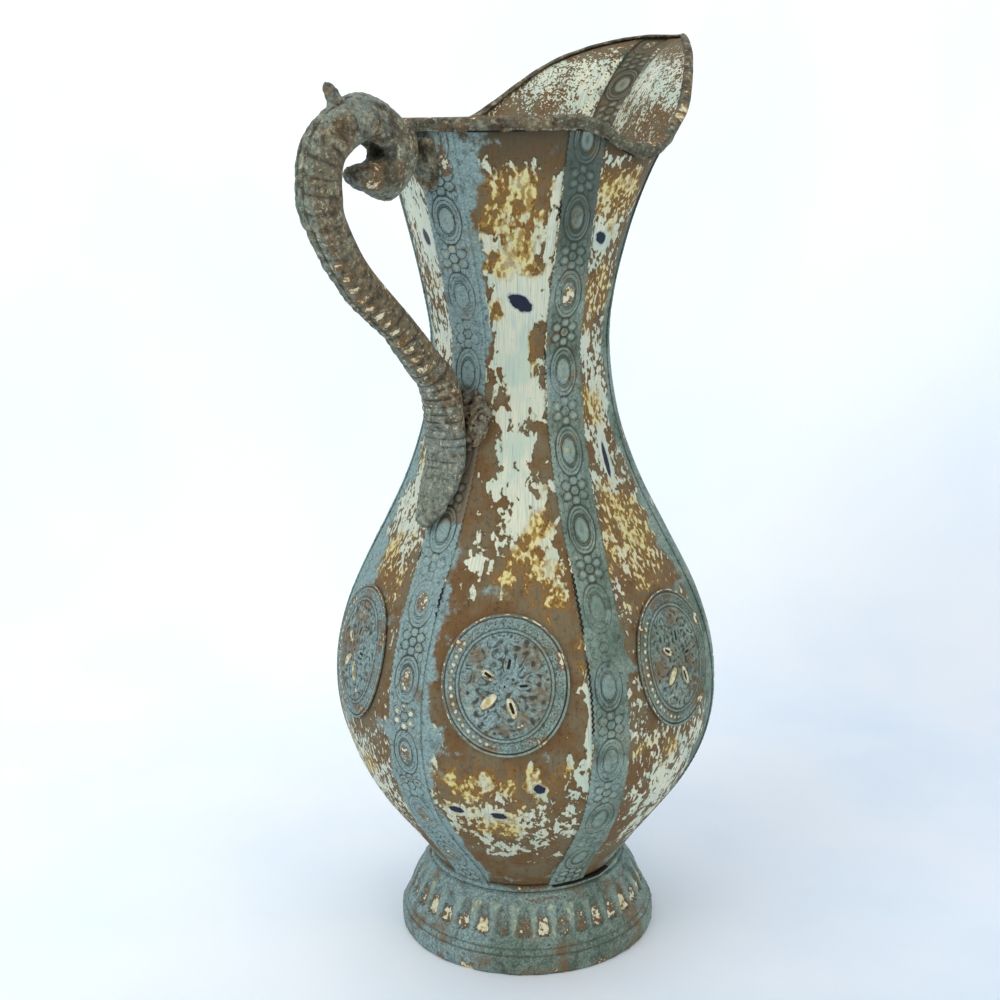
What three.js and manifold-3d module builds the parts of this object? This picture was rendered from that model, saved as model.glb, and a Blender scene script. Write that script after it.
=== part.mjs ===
// A footed sheet-metal jug: six plain gores under six embossed bands, a pinched pouring lip,
// a fluted hollow foot and a cast scroll handle. Millimetres, +Z up. The origin is on the table
// under the axis of the body, +X points to the spout and the handle is on the -X side.
import * as THREE from "three";
import Module from "manifold-3d";

// Clearance between touching pieces, and the metal they are made of.
const clearance = 0.3;
const goreSheet = 0.8;
const bandSheet = 0.8;

// Foot: a spun and fluted pedestal, open underneath.
const footRadius = 64.5;
const footHeight = 35;
const footTopRadius = 50;
const footEyeRadius = 40;
const footSheet = 1.3;
const restWidth = 3.4;
const skirtHeight = 18;
const fluteCount = 36;
const fluteDepth = 1.5;

// Collar: the ring between the foot and the body.
const collarHeight = 2.6;
const collarOverhang = 0.9;

// Body: radii at the corners of the twelve-sided section, heights above the body's lower edge.
const seatRadius = 46.5;
const bellyRadius = 93;
const bellyRise = 91.8;
const neckRadius = 42;
const neckRise = 261.8;
const mouthRise = 360.4;

// Mouth: the edge as seen from above, and how it dips at the sides and climbs to the spout.
const mouthBack = 68;
const mouthHalfWidth = 66;
const spoutReach = 137.5;
const spoutRise = 39;
const sideDip = 12.5;

// Gores and bands.
const panelCount = 6;
const bandWidth = 19;
const bandLap = 2.5;
const bandTurn = THREE.MathUtils.degToRad(2.25);
const floorThickness = 1;

// Medallions: oval stamped discs in the middle of each gore.
const medallionWidth = 57;
const medallionHeight = 64;
const medallionSeat = 0.45;
const medallionSheet = 0.7;
const medallionRelief = 1;
const medallionRise = 117.5;
const petalCount = 5;

// Rim binding: a folded strip clipped over the edge of the sheets.
const rimSlack = 0.5;
const rimWall = 0.9;
const rimOuterDepth = 4.6;
const rimInnerDepth = 3;
const rimFlare = 0.7;

// Handle: a ribbed casting, grooved on the inside, that ends in a scroll and a tongue.
const handleReach = 130;
const scrollDrop = 16.9;
const scrollStandoff = 5.8;
const handleHalfWidth = 8.6;
const handleHalfDepth = 9.4;
const tongueHalfWidth = 11;
const tongueHalfDepth = 5.6;
const tongueRise = 180.5;
const tongueLength = 32;
const tipAside = 6;
const ribPitch = 5;
const ribDepth = 0.45;
const ribbedShare = 0.72;
const grooveDepth = 0.75;
const spikeLength = 12;
const spikeRadius = 4.6;

// Joints of the handle.
const saddleHalfWidth = 6.8;
const saddleHeight = 22;
const padSeat = 0.55;
const lumpReach = 16.5;
const solderHeight = 26;
const solderDepth = 5.5;

const bodyBottom = footHeight + clearance + collarHeight + clearance;
const sector = (2 * Math.PI) / panelCount;
const bandLift = clearance;
const bandFace = bandLift + bandSheet;

const lerp = THREE.MathUtils.lerp;
const smooth = (x) => THREE.MathUtils.smoothstep(x, 0, 1);

// A closed solid from vertices and triangles, turned outwards if its volume comes out negative.
function solid(points, faces) {
  let volume = 0;
  const cross = new THREE.Vector3();
  for (const [a, b, c] of faces) volume += points[a].dot(cross.crossVectors(points[b], points[c]));
  const geometry = new THREE.BufferGeometry();
  geometry.setFromPoints(points);
  geometry.setIndex(faces.flatMap(([a, b, c]) => (volume < 0 ? [a, c, b] : [a, b, c])));
  return geometry;
}

// Triangles between two rows of vertex numbers of equal length.
function bridge(rowA, rowB, closed) {
  const faces = [];
  const last = closed ? rowA.length : rowA.length - 1;
  for (let i = 0; i < last; i++) {
    const j = (i + 1) % rowA.length;
    faces.push([rowA[i], rowA[j], rowB[j]], [rowA[i], rowB[j], rowB[i]]);
  }
  return faces;
}

// A solid through closed sections. looped joins the last section to the first, and otherwise
// each end is closed by a fan.
function loft(sections, looped) {
  const points = sections.flat();
  const size = sections[0].length;
  const rows = sections.map((_, k) => sections[0].map((_, i) => k * size + i));
  const faces = rows.slice(1).flatMap((row, k) => bridge(rows[k], row, true));
  if (looped) {
    faces.push(...bridge(rows.at(-1), rows[0], true));
    return solid(points, faces);
  }
  for (const [row, flip] of [[rows[0], true], [rows.at(-1), false]]) {
    const centre = new THREE.Vector3();
    row.forEach((i) => centre.addScaledVector(points[i], 1 / size));
    points.push(centre);
    const hub = points.length - 1;
    row.forEach((i, k) => {
      const next = row[(k + 1) % size];
      faces.push(flip ? [hub, next, i] : [hub, i, next]);
    });
  }
  return solid(points, faces);
}

// A sheet from a grid of rows of { inner, outer } points, closed along its four edges.
function plate(grid) {
  const columns = grid[0].length;
  const half = grid.length * columns;
  const points = [...grid.flat().map((p) => p.outer), ...grid.flat().map((p) => p.inner)];
  const outerRows = grid.map((row, k) => row.map((_, i) => k * columns + i));
  const innerRows = outerRows.map((row) => row.map((i) => i + half));
  const faces = [];
  for (let k = 1; k < grid.length; k++) {
    faces.push(...bridge(outerRows[k - 1], outerRows[k], false));
    faces.push(...bridge(innerRows[k], innerRows[k - 1], false));
  }
  const edge = [
    ...outerRows[0],
    ...outerRows.slice(1).map((row) => row.at(-1)),
    ...outerRows.at(-1).slice(0, -1).reverse(),
    ...outerRows.slice(1, -1).map((row) => row[0]).reverse(),
  ];
  faces.push(...bridge(edge.map((i) => i + half), edge, true));
  return solid(points, faces);
}

const polar = (radius, angle, z) => {
  return new THREE.Vector3(radius * Math.cos(angle), radius * Math.sin(angle), z);
};

// The mouth's edge: a closed curve, mirrored over the plane of the spout and the handle.
function mouthCurve() {
  const level = bodyBottom + mouthRise;
  const half = [
    [-0.84 * mouthBack, 0.375 * mouthHalfWidth, 0],
    [-0.62 * mouthBack, 0.71 * mouthHalfWidth, 0],
    [-0.36 * mouthBack, 0.87 * mouthHalfWidth, -0.05 * sideDip],
    [0.06 * mouthBack, mouthHalfWidth, -sideDip],
    [0.31 * spoutReach, 0.92 * mouthHalfWidth, 0.03 * spoutRise],
    [0.62 * spoutReach, 0.59 * mouthHalfWidth, 0.72 * spoutRise],
    [0.865 * spoutReach, 0.22 * mouthHalfWidth, 0.98 * spoutRise],
  ];
  const side = (sign) => half.map(([x, y, z]) => new THREE.Vector3(x, sign * y, level + z));
  const points = [
    new THREE.Vector3(-mouthBack, 0, level),
    ...side(1),
    new THREE.Vector3(spoutReach, 0, level + spoutRise),
    ...side(-1).reverse(),
  ];
  return new THREE.CatmullRomCurve3(points, true, "centripetal");
}

// Radius and height of the mouth's edge at an azimuth, read between close samples of the curve.
const mouthSamples = mouthCurve()
  .getPoints(720)
  .map((p) => ({ angle: Math.atan2(p.y, p.x), radius: Math.hypot(p.x, p.y), z: p.z }))
  .sort((a, b) => a.angle - b.angle);

function mouthAt(angle) {
  const a = Math.atan2(Math.sin(angle), Math.cos(angle));
  const next = mouthSamples.findIndex((s) => s.angle > a);
  if (next <= 0) return mouthSamples[0];
  const [s0, s1] = [mouthSamples[next - 1], mouthSamples[next]];
  const f = (a - s0.angle) / (s1.angle - s0.angle);
  return { radius: lerp(s0.radius, s1.radius, f), z: lerp(s0.z, s1.z, f) };
}

const onBezier = (p0, p1, p2, p3, t) => {
  const curve = new THREE.CubicBezierCurve(
    ...[p0, p1, p2, p3].map(([x, y]) => new THREE.Vector2(x, y)),
  );
  return curve.getPoint(t);
};

// The round form that the panels follow: along it, level runs 0 to 1 from the seat to the belly,
// to 2 at the neck and to 3 at the mouth's edge.
function roundPoint(angle, level) {
  const belly = [bellyRadius, bodyBottom + bellyRise];
  const neck = [neckRadius, bodyBottom + neckRise];
  let p;
  if (level < 1) {
    const seat = [seatRadius, bodyBottom];
    const out = [seatRadius + 0.32 * (bellyRadius - seatRadius), bodyBottom + 0.28 * bellyRise];
    p = onBezier(seat, out, [bellyRadius, bodyBottom + 0.5 * bellyRise], belly, level);
  } else if (level < 2) {
    const rise = neckRise - bellyRise;
    const high = [bellyRadius, belly[1] + 0.37 * rise];
    p = onBezier(belly, high, [neckRadius, neck[1] - 0.48 * rise], neck, level - 1);
  } else {
    const edge = mouthAt(angle);
    const span = Math.hypot(edge.radius - neckRadius, edge.z - neck[1]);
    const flare = ((1 + Math.cos(angle)) / 2) ** 6;
    const back = (1 - Math.cos(angle)) / 2;
    const slope = THREE.MathUtils.degToRad(lerp(60, 14, flare) + 18 * back);
    const reach = (lerp(0.43, 0.27, flare) + 0.12 * back) * span;
    const below = [edge.radius - reach * Math.cos(slope), edge.z - reach * Math.sin(slope)];
    const above = [neckRadius, neck[1] + (lerp(0.1, 0.43, flare) + 0.02 * back) * span];
    p = onBezier(neck, above, below, [edge.radius, edge.z], level - 2);
  }
  return polar(p.x, angle, p.y);
}

// How round the panels are: round at both ends, nearly flat facets at the neck.
function roundness(level) {
  if (level < 1) return lerp(1, 0.6, smooth(level));
  if (level < 2) return lerp(0.6, 0.05, smooth(level - 1));
  return lerp(0.05, 1, smooth(level - 2));
}

// The bands are laid by hand: above the belly each one leans over by some degrees of its own.
const bandLean = [1.3, 1.5, 1.5, 2.4, 5.2, 1.5];

function bandAngle(k, level) {
  const lean = THREE.MathUtils.degToRad(bandLean[k % panelCount]);
  return bandTurn + k * sector + lean * smooth((level - 1.1) / 1.6);
}

// The two azimuths at which a band's edges lie, half its width from its middle.
function bandEdges(k, level) {
  const centre = bandAngle(k, level);
  const middle = roundPoint(centre, level);
  return [-1, 1].map((side) => {
    let turn = Math.asin(bandWidth / 2 / Math.hypot(middle.x, middle.y));
    for (let i = 0; i < 4; i++) {
      const reached = roundPoint(centre + side * turn, level).distanceTo(middle);
      turn *= bandWidth / 2 / reached;
    }
    return centre + side * turn;
  });
}

function onChord(angleA, angleB, share, level) {
  const flat = roundPoint(angleA, level).lerp(roundPoint(angleB, level), share);
  return flat.lerp(roundPoint(lerp(angleA, angleB, share), level), roundness(level));
}

// A point of the skin on band k, across is measured from its middle line.
function bandPoint(k, across, level) {
  const [from, to] = bandEdges(k, level);
  return onChord(from, to, 0.5 + across / bandWidth, level);
}

// A point of the skin on gore k, share runs 0 to 1 from band k to band k + 1.
function gorePoint(k, share, level) {
  return onChord(bandEdges(k, level)[1], bandEdges(k + 1, level)[0], share, level);
}

const steps = (count, from, to) => {
  return Array.from({ length: count + 1 }, (_, i) => lerp(from, to, i / count));
};
const skinLevels = [
  ...steps(6, 0, 1),
  ...steps(9, 1, 2).slice(1),
  ...steps(7, 2, 2.95).slice(1),
  3,
];
const halfBand = bandWidth / 2;
const bandColumns = [-halfBand, bandLap - halfBand, halfBand - bandLap, halfBand];

// Columns of a gore between its bands, closer together in the one that holds the spout's tip.
const goreColumns = (k) => (k === panelCount - 1 ? [0.25, 0.5, 0.75, 0.9, 0.97] : [0.25, 0.5, 0.75]);

// All columns round the jug, and the number at which each band starts.
const columns = [];
const bandStart = [];
for (let k = 0; k < panelCount; k++) {
  bandStart.push(columns.length);
  for (const across of bandColumns) columns.push((level) => bandPoint(k, across, level));
  for (const share of goreColumns(k)) columns.push((level) => gorePoint(k, share, level));
}
const columnCount = columns.length;

// The skin: rows of points, each with the step by which it is lifted off the skin, longer at a
// fold. The lowest row is lifted level, so that all sheets end in one plane.
const skinRows = skinLevels.map((level) => columns.map((column) => column(level)));
const skin = skinRows.map((row, r) => row.map((point, c) => {
  const above = skinRows[Math.min(r + 1, skinRows.length - 1)][c];
  const up = above.clone().sub(skinRows[Math.max(r - 1, 0)][c]);
  const ahead = row[(c + 1) % columnCount].clone().sub(point).cross(up).normalize();
  const behind = point.clone().sub(row[(c + columnCount - 1) % columnCount]);
  const lift = behind.cross(up).normalize().add(ahead).normalize();
  lift.divideScalar(lift.dot(ahead));
  if (r === 0) {
    const slant = lift.length();
    lift.setZ(0);
    lift.multiplyScalar((slant / lift.length()) ** 2);
  }
  return { point, lift, up: up.normalize() };
}));

const raised = ({ point, lift }, value) => point.clone().addScaledVector(lift, value);

// A sheet over a run of the skin's columns, between two lifts.
function sheet(from, to, innerLift, outerLift) {
  return plate(skin.map((row) => {
    const cells = [];
    for (let c = from; c <= to; c++) {
      const cell = row[c % columnCount];
      cells.push({ inner: raised(cell, innerLift), outer: raised(cell, outerLift) });
    }
    return cells;
  }));
}

const bandGeometry = (k) => sheet(bandStart[k], bandStart[k] + 3, bandLift, bandFace);

function goreGeometry(k) {
  const end = k === panelCount - 1 ? columnCount : bandStart[k + 1];
  return sheet(bandStart[k] + 2, end + 1, -goreSheet, 0);
}

// The level on gore k at which its middle line has a given height.
function levelAtHeight(k, height) {
  let [low, high] = [0, 3];
  for (let i = 0; i < 40; i++) {
    const middle = (low + high) / 2;
    if (gorePoint(k, 0.5, middle).z < height) low = middle;
    else high = middle;
  }
  return low;
}

// A point of gore k and the normal there.
function goreFrame(k, share, level) {
  const small = 0.01;
  const across = gorePoint(k, share + small, level).sub(gorePoint(k, share - small, level));
  const up = gorePoint(k, share, level + small).sub(gorePoint(k, share, level - small));
  return { point: gorePoint(k, share, level), normal: across.cross(up).normalize() };
}

// Rings of a medallion's face from its middle out: share of the radius, relief on the petals,
// beside them and between them.
const medallionRings = [
  [0.1, 1, 1, 1],
  [0.2, 0.3, 0.3, 0.3],
  [0.34, 1, 0.3, 0.3],
  [0.5, 0.3, 0.3, 0.3],
  [0.91, 0.3, 0.3, 0.3],
  [0.96, 1, 1, 1],
  [1, 0.5, 0.5, 0.5],
];

function medallionGeometry(k) {
  const spokes = 4 * petalCount;
  const level = levelAtHeight(k, bodyBottom + medallionRise);
  const width = gorePoint(k, 0, level).distanceTo(gorePoint(k, 1, level));
  const small = 0.05;
  const climb = gorePoint(k, 0.5, level + small).distanceTo(gorePoint(k, 0.5, level - small));
  const ring = (share, liftAt) => Array.from({ length: spokes }, (_, i) => {
    const angle = (i / spokes) * 2 * Math.PI;
    const x = (share * medallionWidth * Math.sin(angle)) / 2;
    const y = (share * medallionHeight * Math.cos(angle)) / 2;
    const spot = goreFrame(k, 0.5 + x / width, level + (2 * small * y) / climb);
    return spot.point.addScaledVector(spot.normal, liftAt(i));
  });
  const face = medallionSeat + medallionSheet;
  const back = [0.35, 0.7, 1].map((share) => ring(share, () => medallionSeat));
  const front = medallionRings.slice().reverse().map(([share, ...relief]) => {
    return ring(share, (i) => face + medallionRelief * relief[[0, 1, 2, 1][i % 4]]);
  });
  return loft([...back, ...front], false);
}

// Rim binding: a folded section carried round over the top row of the skin.
function rimGeometry() {
  const inner = -goreSheet - rimSlack;
  const outer = bandFace + rimSlack;
  const section = [
    [outer + rimWall + rimFlare, -rimOuterDepth],
    [outer + rimWall, -0.45 * rimOuterDepth],
    [outer + rimWall, clearance],
    [outer, clearance + rimWall],
    [inner, clearance + rimWall],
    [inner - rimWall, clearance],
    [inner - rimWall, -rimInnerDepth],
    [inner, -rimInnerDepth],
    [inner, clearance],
    [outer, clearance],
    [outer, -0.45 * rimOuterDepth],
    [outer + rimFlare, -rimOuterDepth],
  ];
  const sections = skin.at(-1).map(({ point, lift, up }) => section.map(([n, u]) => {
    return point.clone().addScaledVector(lift, n).addScaledVector(up, u);
  }));
  return loft(sections, true);
}

// Foot: one closed profile carried round. Points with a flute share move in and out.
function footGeometry() {
  const skirt = footRadius - footTopRadius;
  const at = (share) => footTopRadius + share * skirt;
  const fluteTop = footHeight - 4.4;
  const fluteFoot = skirtHeight + 1.2;
  const profile = [
    [footRadius - restWidth, 0, 0],
    [footRadius - 0.5, 0, 0],
    [footRadius, 0.17 * skirtHeight, 0],
    [footRadius - 0.1, 0.46 * skirtHeight, 0],
    [at(0.87), 0.52 * skirtHeight, 0],
    [at(0.81), 0.68 * skirtHeight, 0],
    [at(0.66), skirtHeight, 0],
    [at(0.62), fluteFoot, 1],
    [at(0.42), lerp(fluteFoot, fluteTop, 0.62), 1],
    [at(0.2), fluteTop, 1],
    [at(0.1), fluteTop + 1.4, 0],
    [footTopRadius, footHeight, 0],
    [footEyeRadius, footHeight, 0],
    [footEyeRadius, footHeight - footSheet, 0],
    [at(0.5) - 1.4, fluteFoot + 1, 0],
    [footRadius - restWidth, 0.45 * skirtHeight, 0],
  ];
  const columnsRound = 2 * fluteCount;
  const sections = Array.from({ length: columnsRound }, (_, i) => {
    const angle = (i / columnsRound) * 2 * Math.PI;
    return profile.map(([r, z, flute]) => polar(r - (i % 2) * flute * fluteDepth, angle, z));
  });
  return loft(sections, true);
}

const lathed = (profile, segments) => {
  const geometry = new THREE.LatheGeometry(
    profile.map(([r, z]) => new THREE.Vector2(r, z)),
    segments,
  );
  return geometry.rotateX(Math.PI / 2);
};

// Collar: a flat ring with a rounded outer edge, lying on the foot's flange.
function collarGeometry() {
  const bottom = footHeight + clearance;
  const top = bottom + collarHeight;
  const edge = seatRadius + collarOverhang;
  const round = collarHeight / 2;
  return lathed([
    [footEyeRadius, bottom],
    [edge, bottom],
    [edge + round, bottom + round],
    [edge, top],
    [footEyeRadius, top],
    [footEyeRadius, bottom],
  ], 60);
}

// Floor of the body: a disc let into the lower ends of the gores, its edge cut to their slope.
function floorGeometry() {
  const top = bodyBottom + floorThickness;
  const radius = seatRadius - goreSheet - clearance - 0.35;
  return lathed([
    [0, bodyBottom],
    [radius, bodyBottom],
    [radius + 0.4 * floorThickness, top],
    [0, top],
  ], 48);
}

// Reach of the bands' outer face on the handle's side, at a distance aside and a height.
const faceRows = skin.map((row) => row.map((cell) => raised(cell, bandFace)));

function wallReach(y, height) {
  const line = faceRows.map((row) => {
    const next = (c) => row[(c + 1) % columnCount];
    const c = row.findIndex((p, i) => p.x < 0 && p.y >= y && next(i).y < y);
    return row[c].clone().lerp(next(c), (row[c].y - y) / (row[c].y - next(c).y));
  });
  const r = line.findIndex((p) => p.z > height);
  const share = (height - line[r - 1].z) / (line[r].z - line[r - 1].z);
  return -lerp(line[r - 1].x, line[r].x, share);
}

// The scroll hangs a little under the mouth's edge and stands off the neck by a set gap.
const scrollHeight = bodyBottom + mouthRise - scrollDrop;
const curlDepth = 1.3 * handleHalfDepth;
const curlReach = wallReach(0, scrollHeight + 5) + scrollStandoff + curlDepth;
const scrollReach = curlReach + 24.6;

// Handle: stations along its middle line as
// [reach, height, half depth, half width, groove, shift aside].

function handleStations() {
  const at = (rise) => bodyBottom + rise;
  const seat = (rise, depth, shift) => {
    const side = 0.56 * tongueHalfWidth;
    const left = wallReach(shift + side, at(rise));
    return Math.max(left, wallReach(shift - side, at(rise))) + clearance + depth;
  };
  const tip = tongueRise;
  const heel = tongueRise + tongueLength;
  const shoulder = scrollHeight - 13;
  const heelReach = seat(heel, tongueHalfDepth, 0) + 1;
  const limb = (share, lift) => [
    lerp(heelReach, handleReach, share),
    lerp(at(heel), shoulder, lift),
  ];
  const [depth, width] = [handleHalfDepth, handleHalfWidth];
  const tongue = (rise, deep, wide, aside) => {
    const shift = aside * tipAside;
    const half = deep * tongueHalfDepth;
    const reach = seat(tip + rise, half, shift) + clearance;
    return [reach, at(tip + rise), half, wide * tongueHalfWidth, 0, shift];
  };
  return [
    tongue(0, 0.3, 0.25, 1),
    tongue(3, 0.54, 0.52, 0.95),
    tongue(10, 0.8, 0.76, 0.55),
    tongue(20, 1, 0.96, 0.15),
    [heelReach, at(heel), 0.65 * depth, tongueHalfWidth, 0],
    [...limb(0.05, 0.28), 0.85 * depth, 1.15 * width, 0.3],
    [...limb(0.19, 0.38), 0.82 * depth, width, 1],
    [...limb(0.38, 0.51), 0.78 * depth, 0.9 * width, 1],
    [...limb(0.765, 0.73), 0.89 * depth, 0.9 * width, 1],
    [...limb(0.95, 0.905), 0.93 * depth, 0.93 * width, 1],
    [handleReach, shoulder, 1.08 * depth, width, 1],
    [lerp(scrollReach, handleReach, 0.85), scrollHeight + 6, 1.04 * depth, 1.05 * width, 1],
    [scrollReach - 2.3, scrollHeight + 18.2, 1.06 * depth, 1.1 * width, 1],
    [scrollReach - 19.2, scrollHeight + 12.3, 1.05 * depth, 1.1 * width, 0.8],
    [curlReach, scrollHeight + 5, curlDepth, 1.1 * width, 0.6],
    [scrollReach - 18.6, scrollHeight - 4.4, 1.15 * depth, 1.05 * width, 0.2],
    [scrollReach - 6.2, scrollHeight - 5.1, 0.66 * depth, 0.93 * width, 0],
    [scrollReach + 0.6, scrollHeight - 4.3, 0.44 * depth, 0.75 * width, 0],
    [scrollReach + 3, scrollHeight - 3.9, 0.14 * depth, 0.3 * width, 0],
  ];
}

// The casting's section for a half width and half depth of one: a keeled outer face and a
// groove along the inside.
const handleSection = (groove) => {
  const right = [
    [0.68, 0.72],
    [1, 0],
    [0.8, -0.75],
    [0.56, -0.9],
    [0.4, -0.9 + grooveDepth * groove],
  ];
  const left = right.map(([b, n]) => [-b, n]).reverse();
  return [[0, 1.04], ...right, ...left];
};

// The handle's middle line, and at a place on it the half depth, half width and groove.
const handleLine = new THREE.CatmullRomCurve3(
  handleStations().map(([reach, z]) => new THREE.Vector3(-reach, 0, z)),
  false,
  "centripetal",
);

function handleAt(t) {
  const stations = handleStations();
  const last = stations.length - 1;
  const place = Math.min(Math.floor(t * last), last - 1);
  const mix = smooth(t * last - place);
  const value = (j) => lerp(stations[place][j] ?? 0, stations[place + 1][j] ?? 0, mix);
  const along = handleLine.getTangent(t);
  return {
    centre: handleLine.getPoint(t).setY(value(5)),
    outward: new THREE.Vector3(-along.z, 0, along.x),
    depth: value(2),
    width: value(3),
    groove: value(4),
  };
}

// Sections two to a rib as far as the horn, then plain ones round the scroll.
function handleSweep() {
  const ribs = Math.round((ribbedShare * handleLine.getLength()) / ribPitch);
  const plain = 14;
  const places = [
    ...steps(2 * ribs, 0, ribbedShare),
    ...steps(plain, ribbedShare, 1).slice(1),
  ];
  return loft(places.map((u, i) => {
    const { centre, outward, depth, width, groove } = handleAt(handleLine.getUtoTmapping(u));
    const rib = i < 2 * ribs && i % 2 === 1 ? -ribDepth : 0;
    return handleSection(groove).map(([b, n]) => centre.clone()
      .addScaledVector(outward, n * (n > 0 ? depth + rib : depth))
      .add(new THREE.Vector3(0, b * (width + rib), 0)));
  }), false);
}

const wasm = await Module();
wasm.setup();

function toManifold(geometry) {
  const source = geometry.index ? geometry : new THREE.BufferGeometry().copy(geometry);
  return new wasm.Manifold(new wasm.Mesh({
    numProp: 3,
    vertProperties: source.getAttribute("position").array,
    triVerts: new Uint32Array(source.index.array),
  }));
}

function fromManifold(shape) {
  const mesh = shape.getMesh();
  const geometry = new THREE.BufferGeometry();
  geometry.setAttribute("position", new THREE.BufferAttribute(mesh.vertProperties, 3));
  geometry.setIndex(new THREE.BufferAttribute(mesh.triVerts, 1));
  return geometry;
}

// The handle with the horn on its shoulder.
function handleGeometry() {
  const root = new THREE.Vector3(-scrollReach - 6, 0, scrollHeight + 13.3);
  const axis = new THREE.Vector3(-5, 0, 11.5).normalize();
  const sides = 10;
  const profile = [[1, 0], [0.9, 0.4], [0.6, 0.62], [0.38, 0.92], [0.14, 1]];
  const full = spikeLength + handleHalfDepth;
  const tilt = new THREE.Quaternion().setFromUnitVectors(new THREE.Vector3(0, 0, 1), axis);
  const sections = profile.map(([r, z]) => Array.from({ length: sides }, (_, i) => {
    const ringPoint = polar(r * spikeRadius, (i / sides) * 2 * Math.PI, z * full);
    return ringPoint.applyQuaternion(tilt).add(root);
  }));
  const horn = toManifold(loft(sections, false));
  return fromManifold(toManifold(handleSweep()).add(horn));
}

// Reach of the handle's inner face at a height between its tongue and the middle of its limb.
function handleBack(height) {
  const face = (t) => {
    const { centre, outward, depth } = handleAt(t);
    return centre.addScaledVector(outward, -0.9 * depth);
  };
  let [low, high] = [0.1, 0.45];
  for (let i = 0; i < 30; i++) {
    const middle = (low + high) / 2;
    if (face(middle).z < height) low = middle;
    else high = middle;
  }
  return -face(low).x;
}

// A pad on the outer faces of the band behind the handle. spread gives the side reach at a share
// of the height from -1 to 1, and front the outer reach at a height, side and wall reach.
function padGeometry(from, to, count, spread, front) {
  const rows = steps(count, 0, 1).map((share) => {
    const height = lerp(from, to, share);
    const [left, right] = spread(share);
    return steps(count, left, right).map((y) => {
      const back = wallReach(y, height) + padSeat;
      return {
        inner: new THREE.Vector3(-back, y, height),
        outer: new THREE.Vector3(-front(height, y, back, share), y, height),
      };
    });
  });
  return plate(rows);
}

// Least reach of the scroll, where its keel comes nearest to the neck.
const scrollKeel = () => Math.min(...steps(200, 0.6, 0.95).map((t) => {
  const { centre, outward, depth } = handleAt(t);
  return -centre.addScaledVector(outward, 1.04 * depth).x;
}));

// Saddle: the leaf-shaped plate between the scroll and the neck.
function saddleGeometry() {
  const top = bodyBottom + mouthRise - rimOuterDepth - 2.5;
  const most = scrollKeel() - clearance;
  return padGeometry(
    top - saddleHeight,
    top,
    8,
    (share) => {
      const half = saddleHalfWidth * Math.sqrt(1 - 0.8 * (1 - smooth(2 * share)) ** 2);
      return [-half, half];
    },
    (height, y, back, share) => {
      const thick = lerp(1.2, 9, smooth(1.1 * share));
      return Math.max(back + 0.6, Math.min(back + thick, most));
    },
  );
}

// Solder run in behind the heel of the handle, standing out in a lump on one side.
function solderGeometry() {
  const bottom = bodyBottom + tongueRise + tongueLength + 3;
  const [left, right] = [-lumpReach, 0.6 * tongueHalfWidth];
  const middle = (left + right) / 2;
  return padGeometry(
    bottom,
    bottom + solderHeight,
    9,
    (share) => {
      const half = ((right - left) / 2) * Math.sqrt(1 - 0.8 * (2 * share - 1) ** 2);
      return [middle - half, middle + half];
    },
    (height, y, back, share) => {
      const swell = solderDepth * (1 - 0.8 * (2 * share - 1) ** 2);
      return Math.max(back + 0.5, Math.min(back + swell, handleBack(height) - clearance));
    },
  );
}

// Finishes.
const patina = { color: 0x6f837e, roughness: 0.8, metalness: 0.35 };
const worn = { color: 0xb09a66, roughness: 0.6, metalness: 0.6 };
const castBrown = { color: 0x5c5546, roughness: 0.75, metalness: 0.5 };
const solderGrey = { color: 0x6a5e50, roughness: 0.85, metalness: 0.4 };

const jug = new THREE.Group();

function addPiece(name, geometry, finish) {
  const mesh = new THREE.Mesh(geometry, new THREE.MeshStandardMaterial(finish));
  mesh.name = name;
  jug.add(mesh);
}

addPiece("foot", footGeometry(), patina);
addPiece("foot_collar", collarGeometry(), patina);
addPiece("body_floor", floorGeometry(), worn);
for (let k = 0; k < panelCount; k++) {
  addPiece(`gore_${k + 1}`, goreGeometry(k), worn);
  addPiece(`band_${k + 1}`, bandGeometry(k), patina);
  addPiece(`medallion_${k + 1}`, medallionGeometry(k), patina);
}
addPiece("rim_binding", rimGeometry(), castBrown);
addPiece("handle", handleGeometry(), castBrown);
addPiece("upper_saddle", saddleGeometry(), castBrown);
addPiece("heel_solder", solderGeometry(), solderGrey);

export default jug;
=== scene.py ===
import math
import bpy
import bmesh
import numpy as np
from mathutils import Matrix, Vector


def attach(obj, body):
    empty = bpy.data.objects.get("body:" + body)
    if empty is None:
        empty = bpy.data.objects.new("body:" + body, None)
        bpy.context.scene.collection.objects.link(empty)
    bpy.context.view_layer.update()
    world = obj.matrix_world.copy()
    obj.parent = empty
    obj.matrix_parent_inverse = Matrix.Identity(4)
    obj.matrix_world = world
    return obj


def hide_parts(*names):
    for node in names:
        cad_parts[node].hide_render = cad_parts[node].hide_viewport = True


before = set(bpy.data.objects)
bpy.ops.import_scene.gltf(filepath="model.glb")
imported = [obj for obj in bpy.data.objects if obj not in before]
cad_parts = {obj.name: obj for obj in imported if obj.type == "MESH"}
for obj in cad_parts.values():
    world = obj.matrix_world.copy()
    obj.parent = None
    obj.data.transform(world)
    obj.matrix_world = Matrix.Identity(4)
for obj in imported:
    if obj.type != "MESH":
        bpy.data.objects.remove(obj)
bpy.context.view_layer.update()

# A footed sheet-metal jug. Sizes are in millimetres and are turned into metres when a mesh is made.
# +X points to the spout, the handle is on the -X side, and the origin is on the table.

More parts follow.
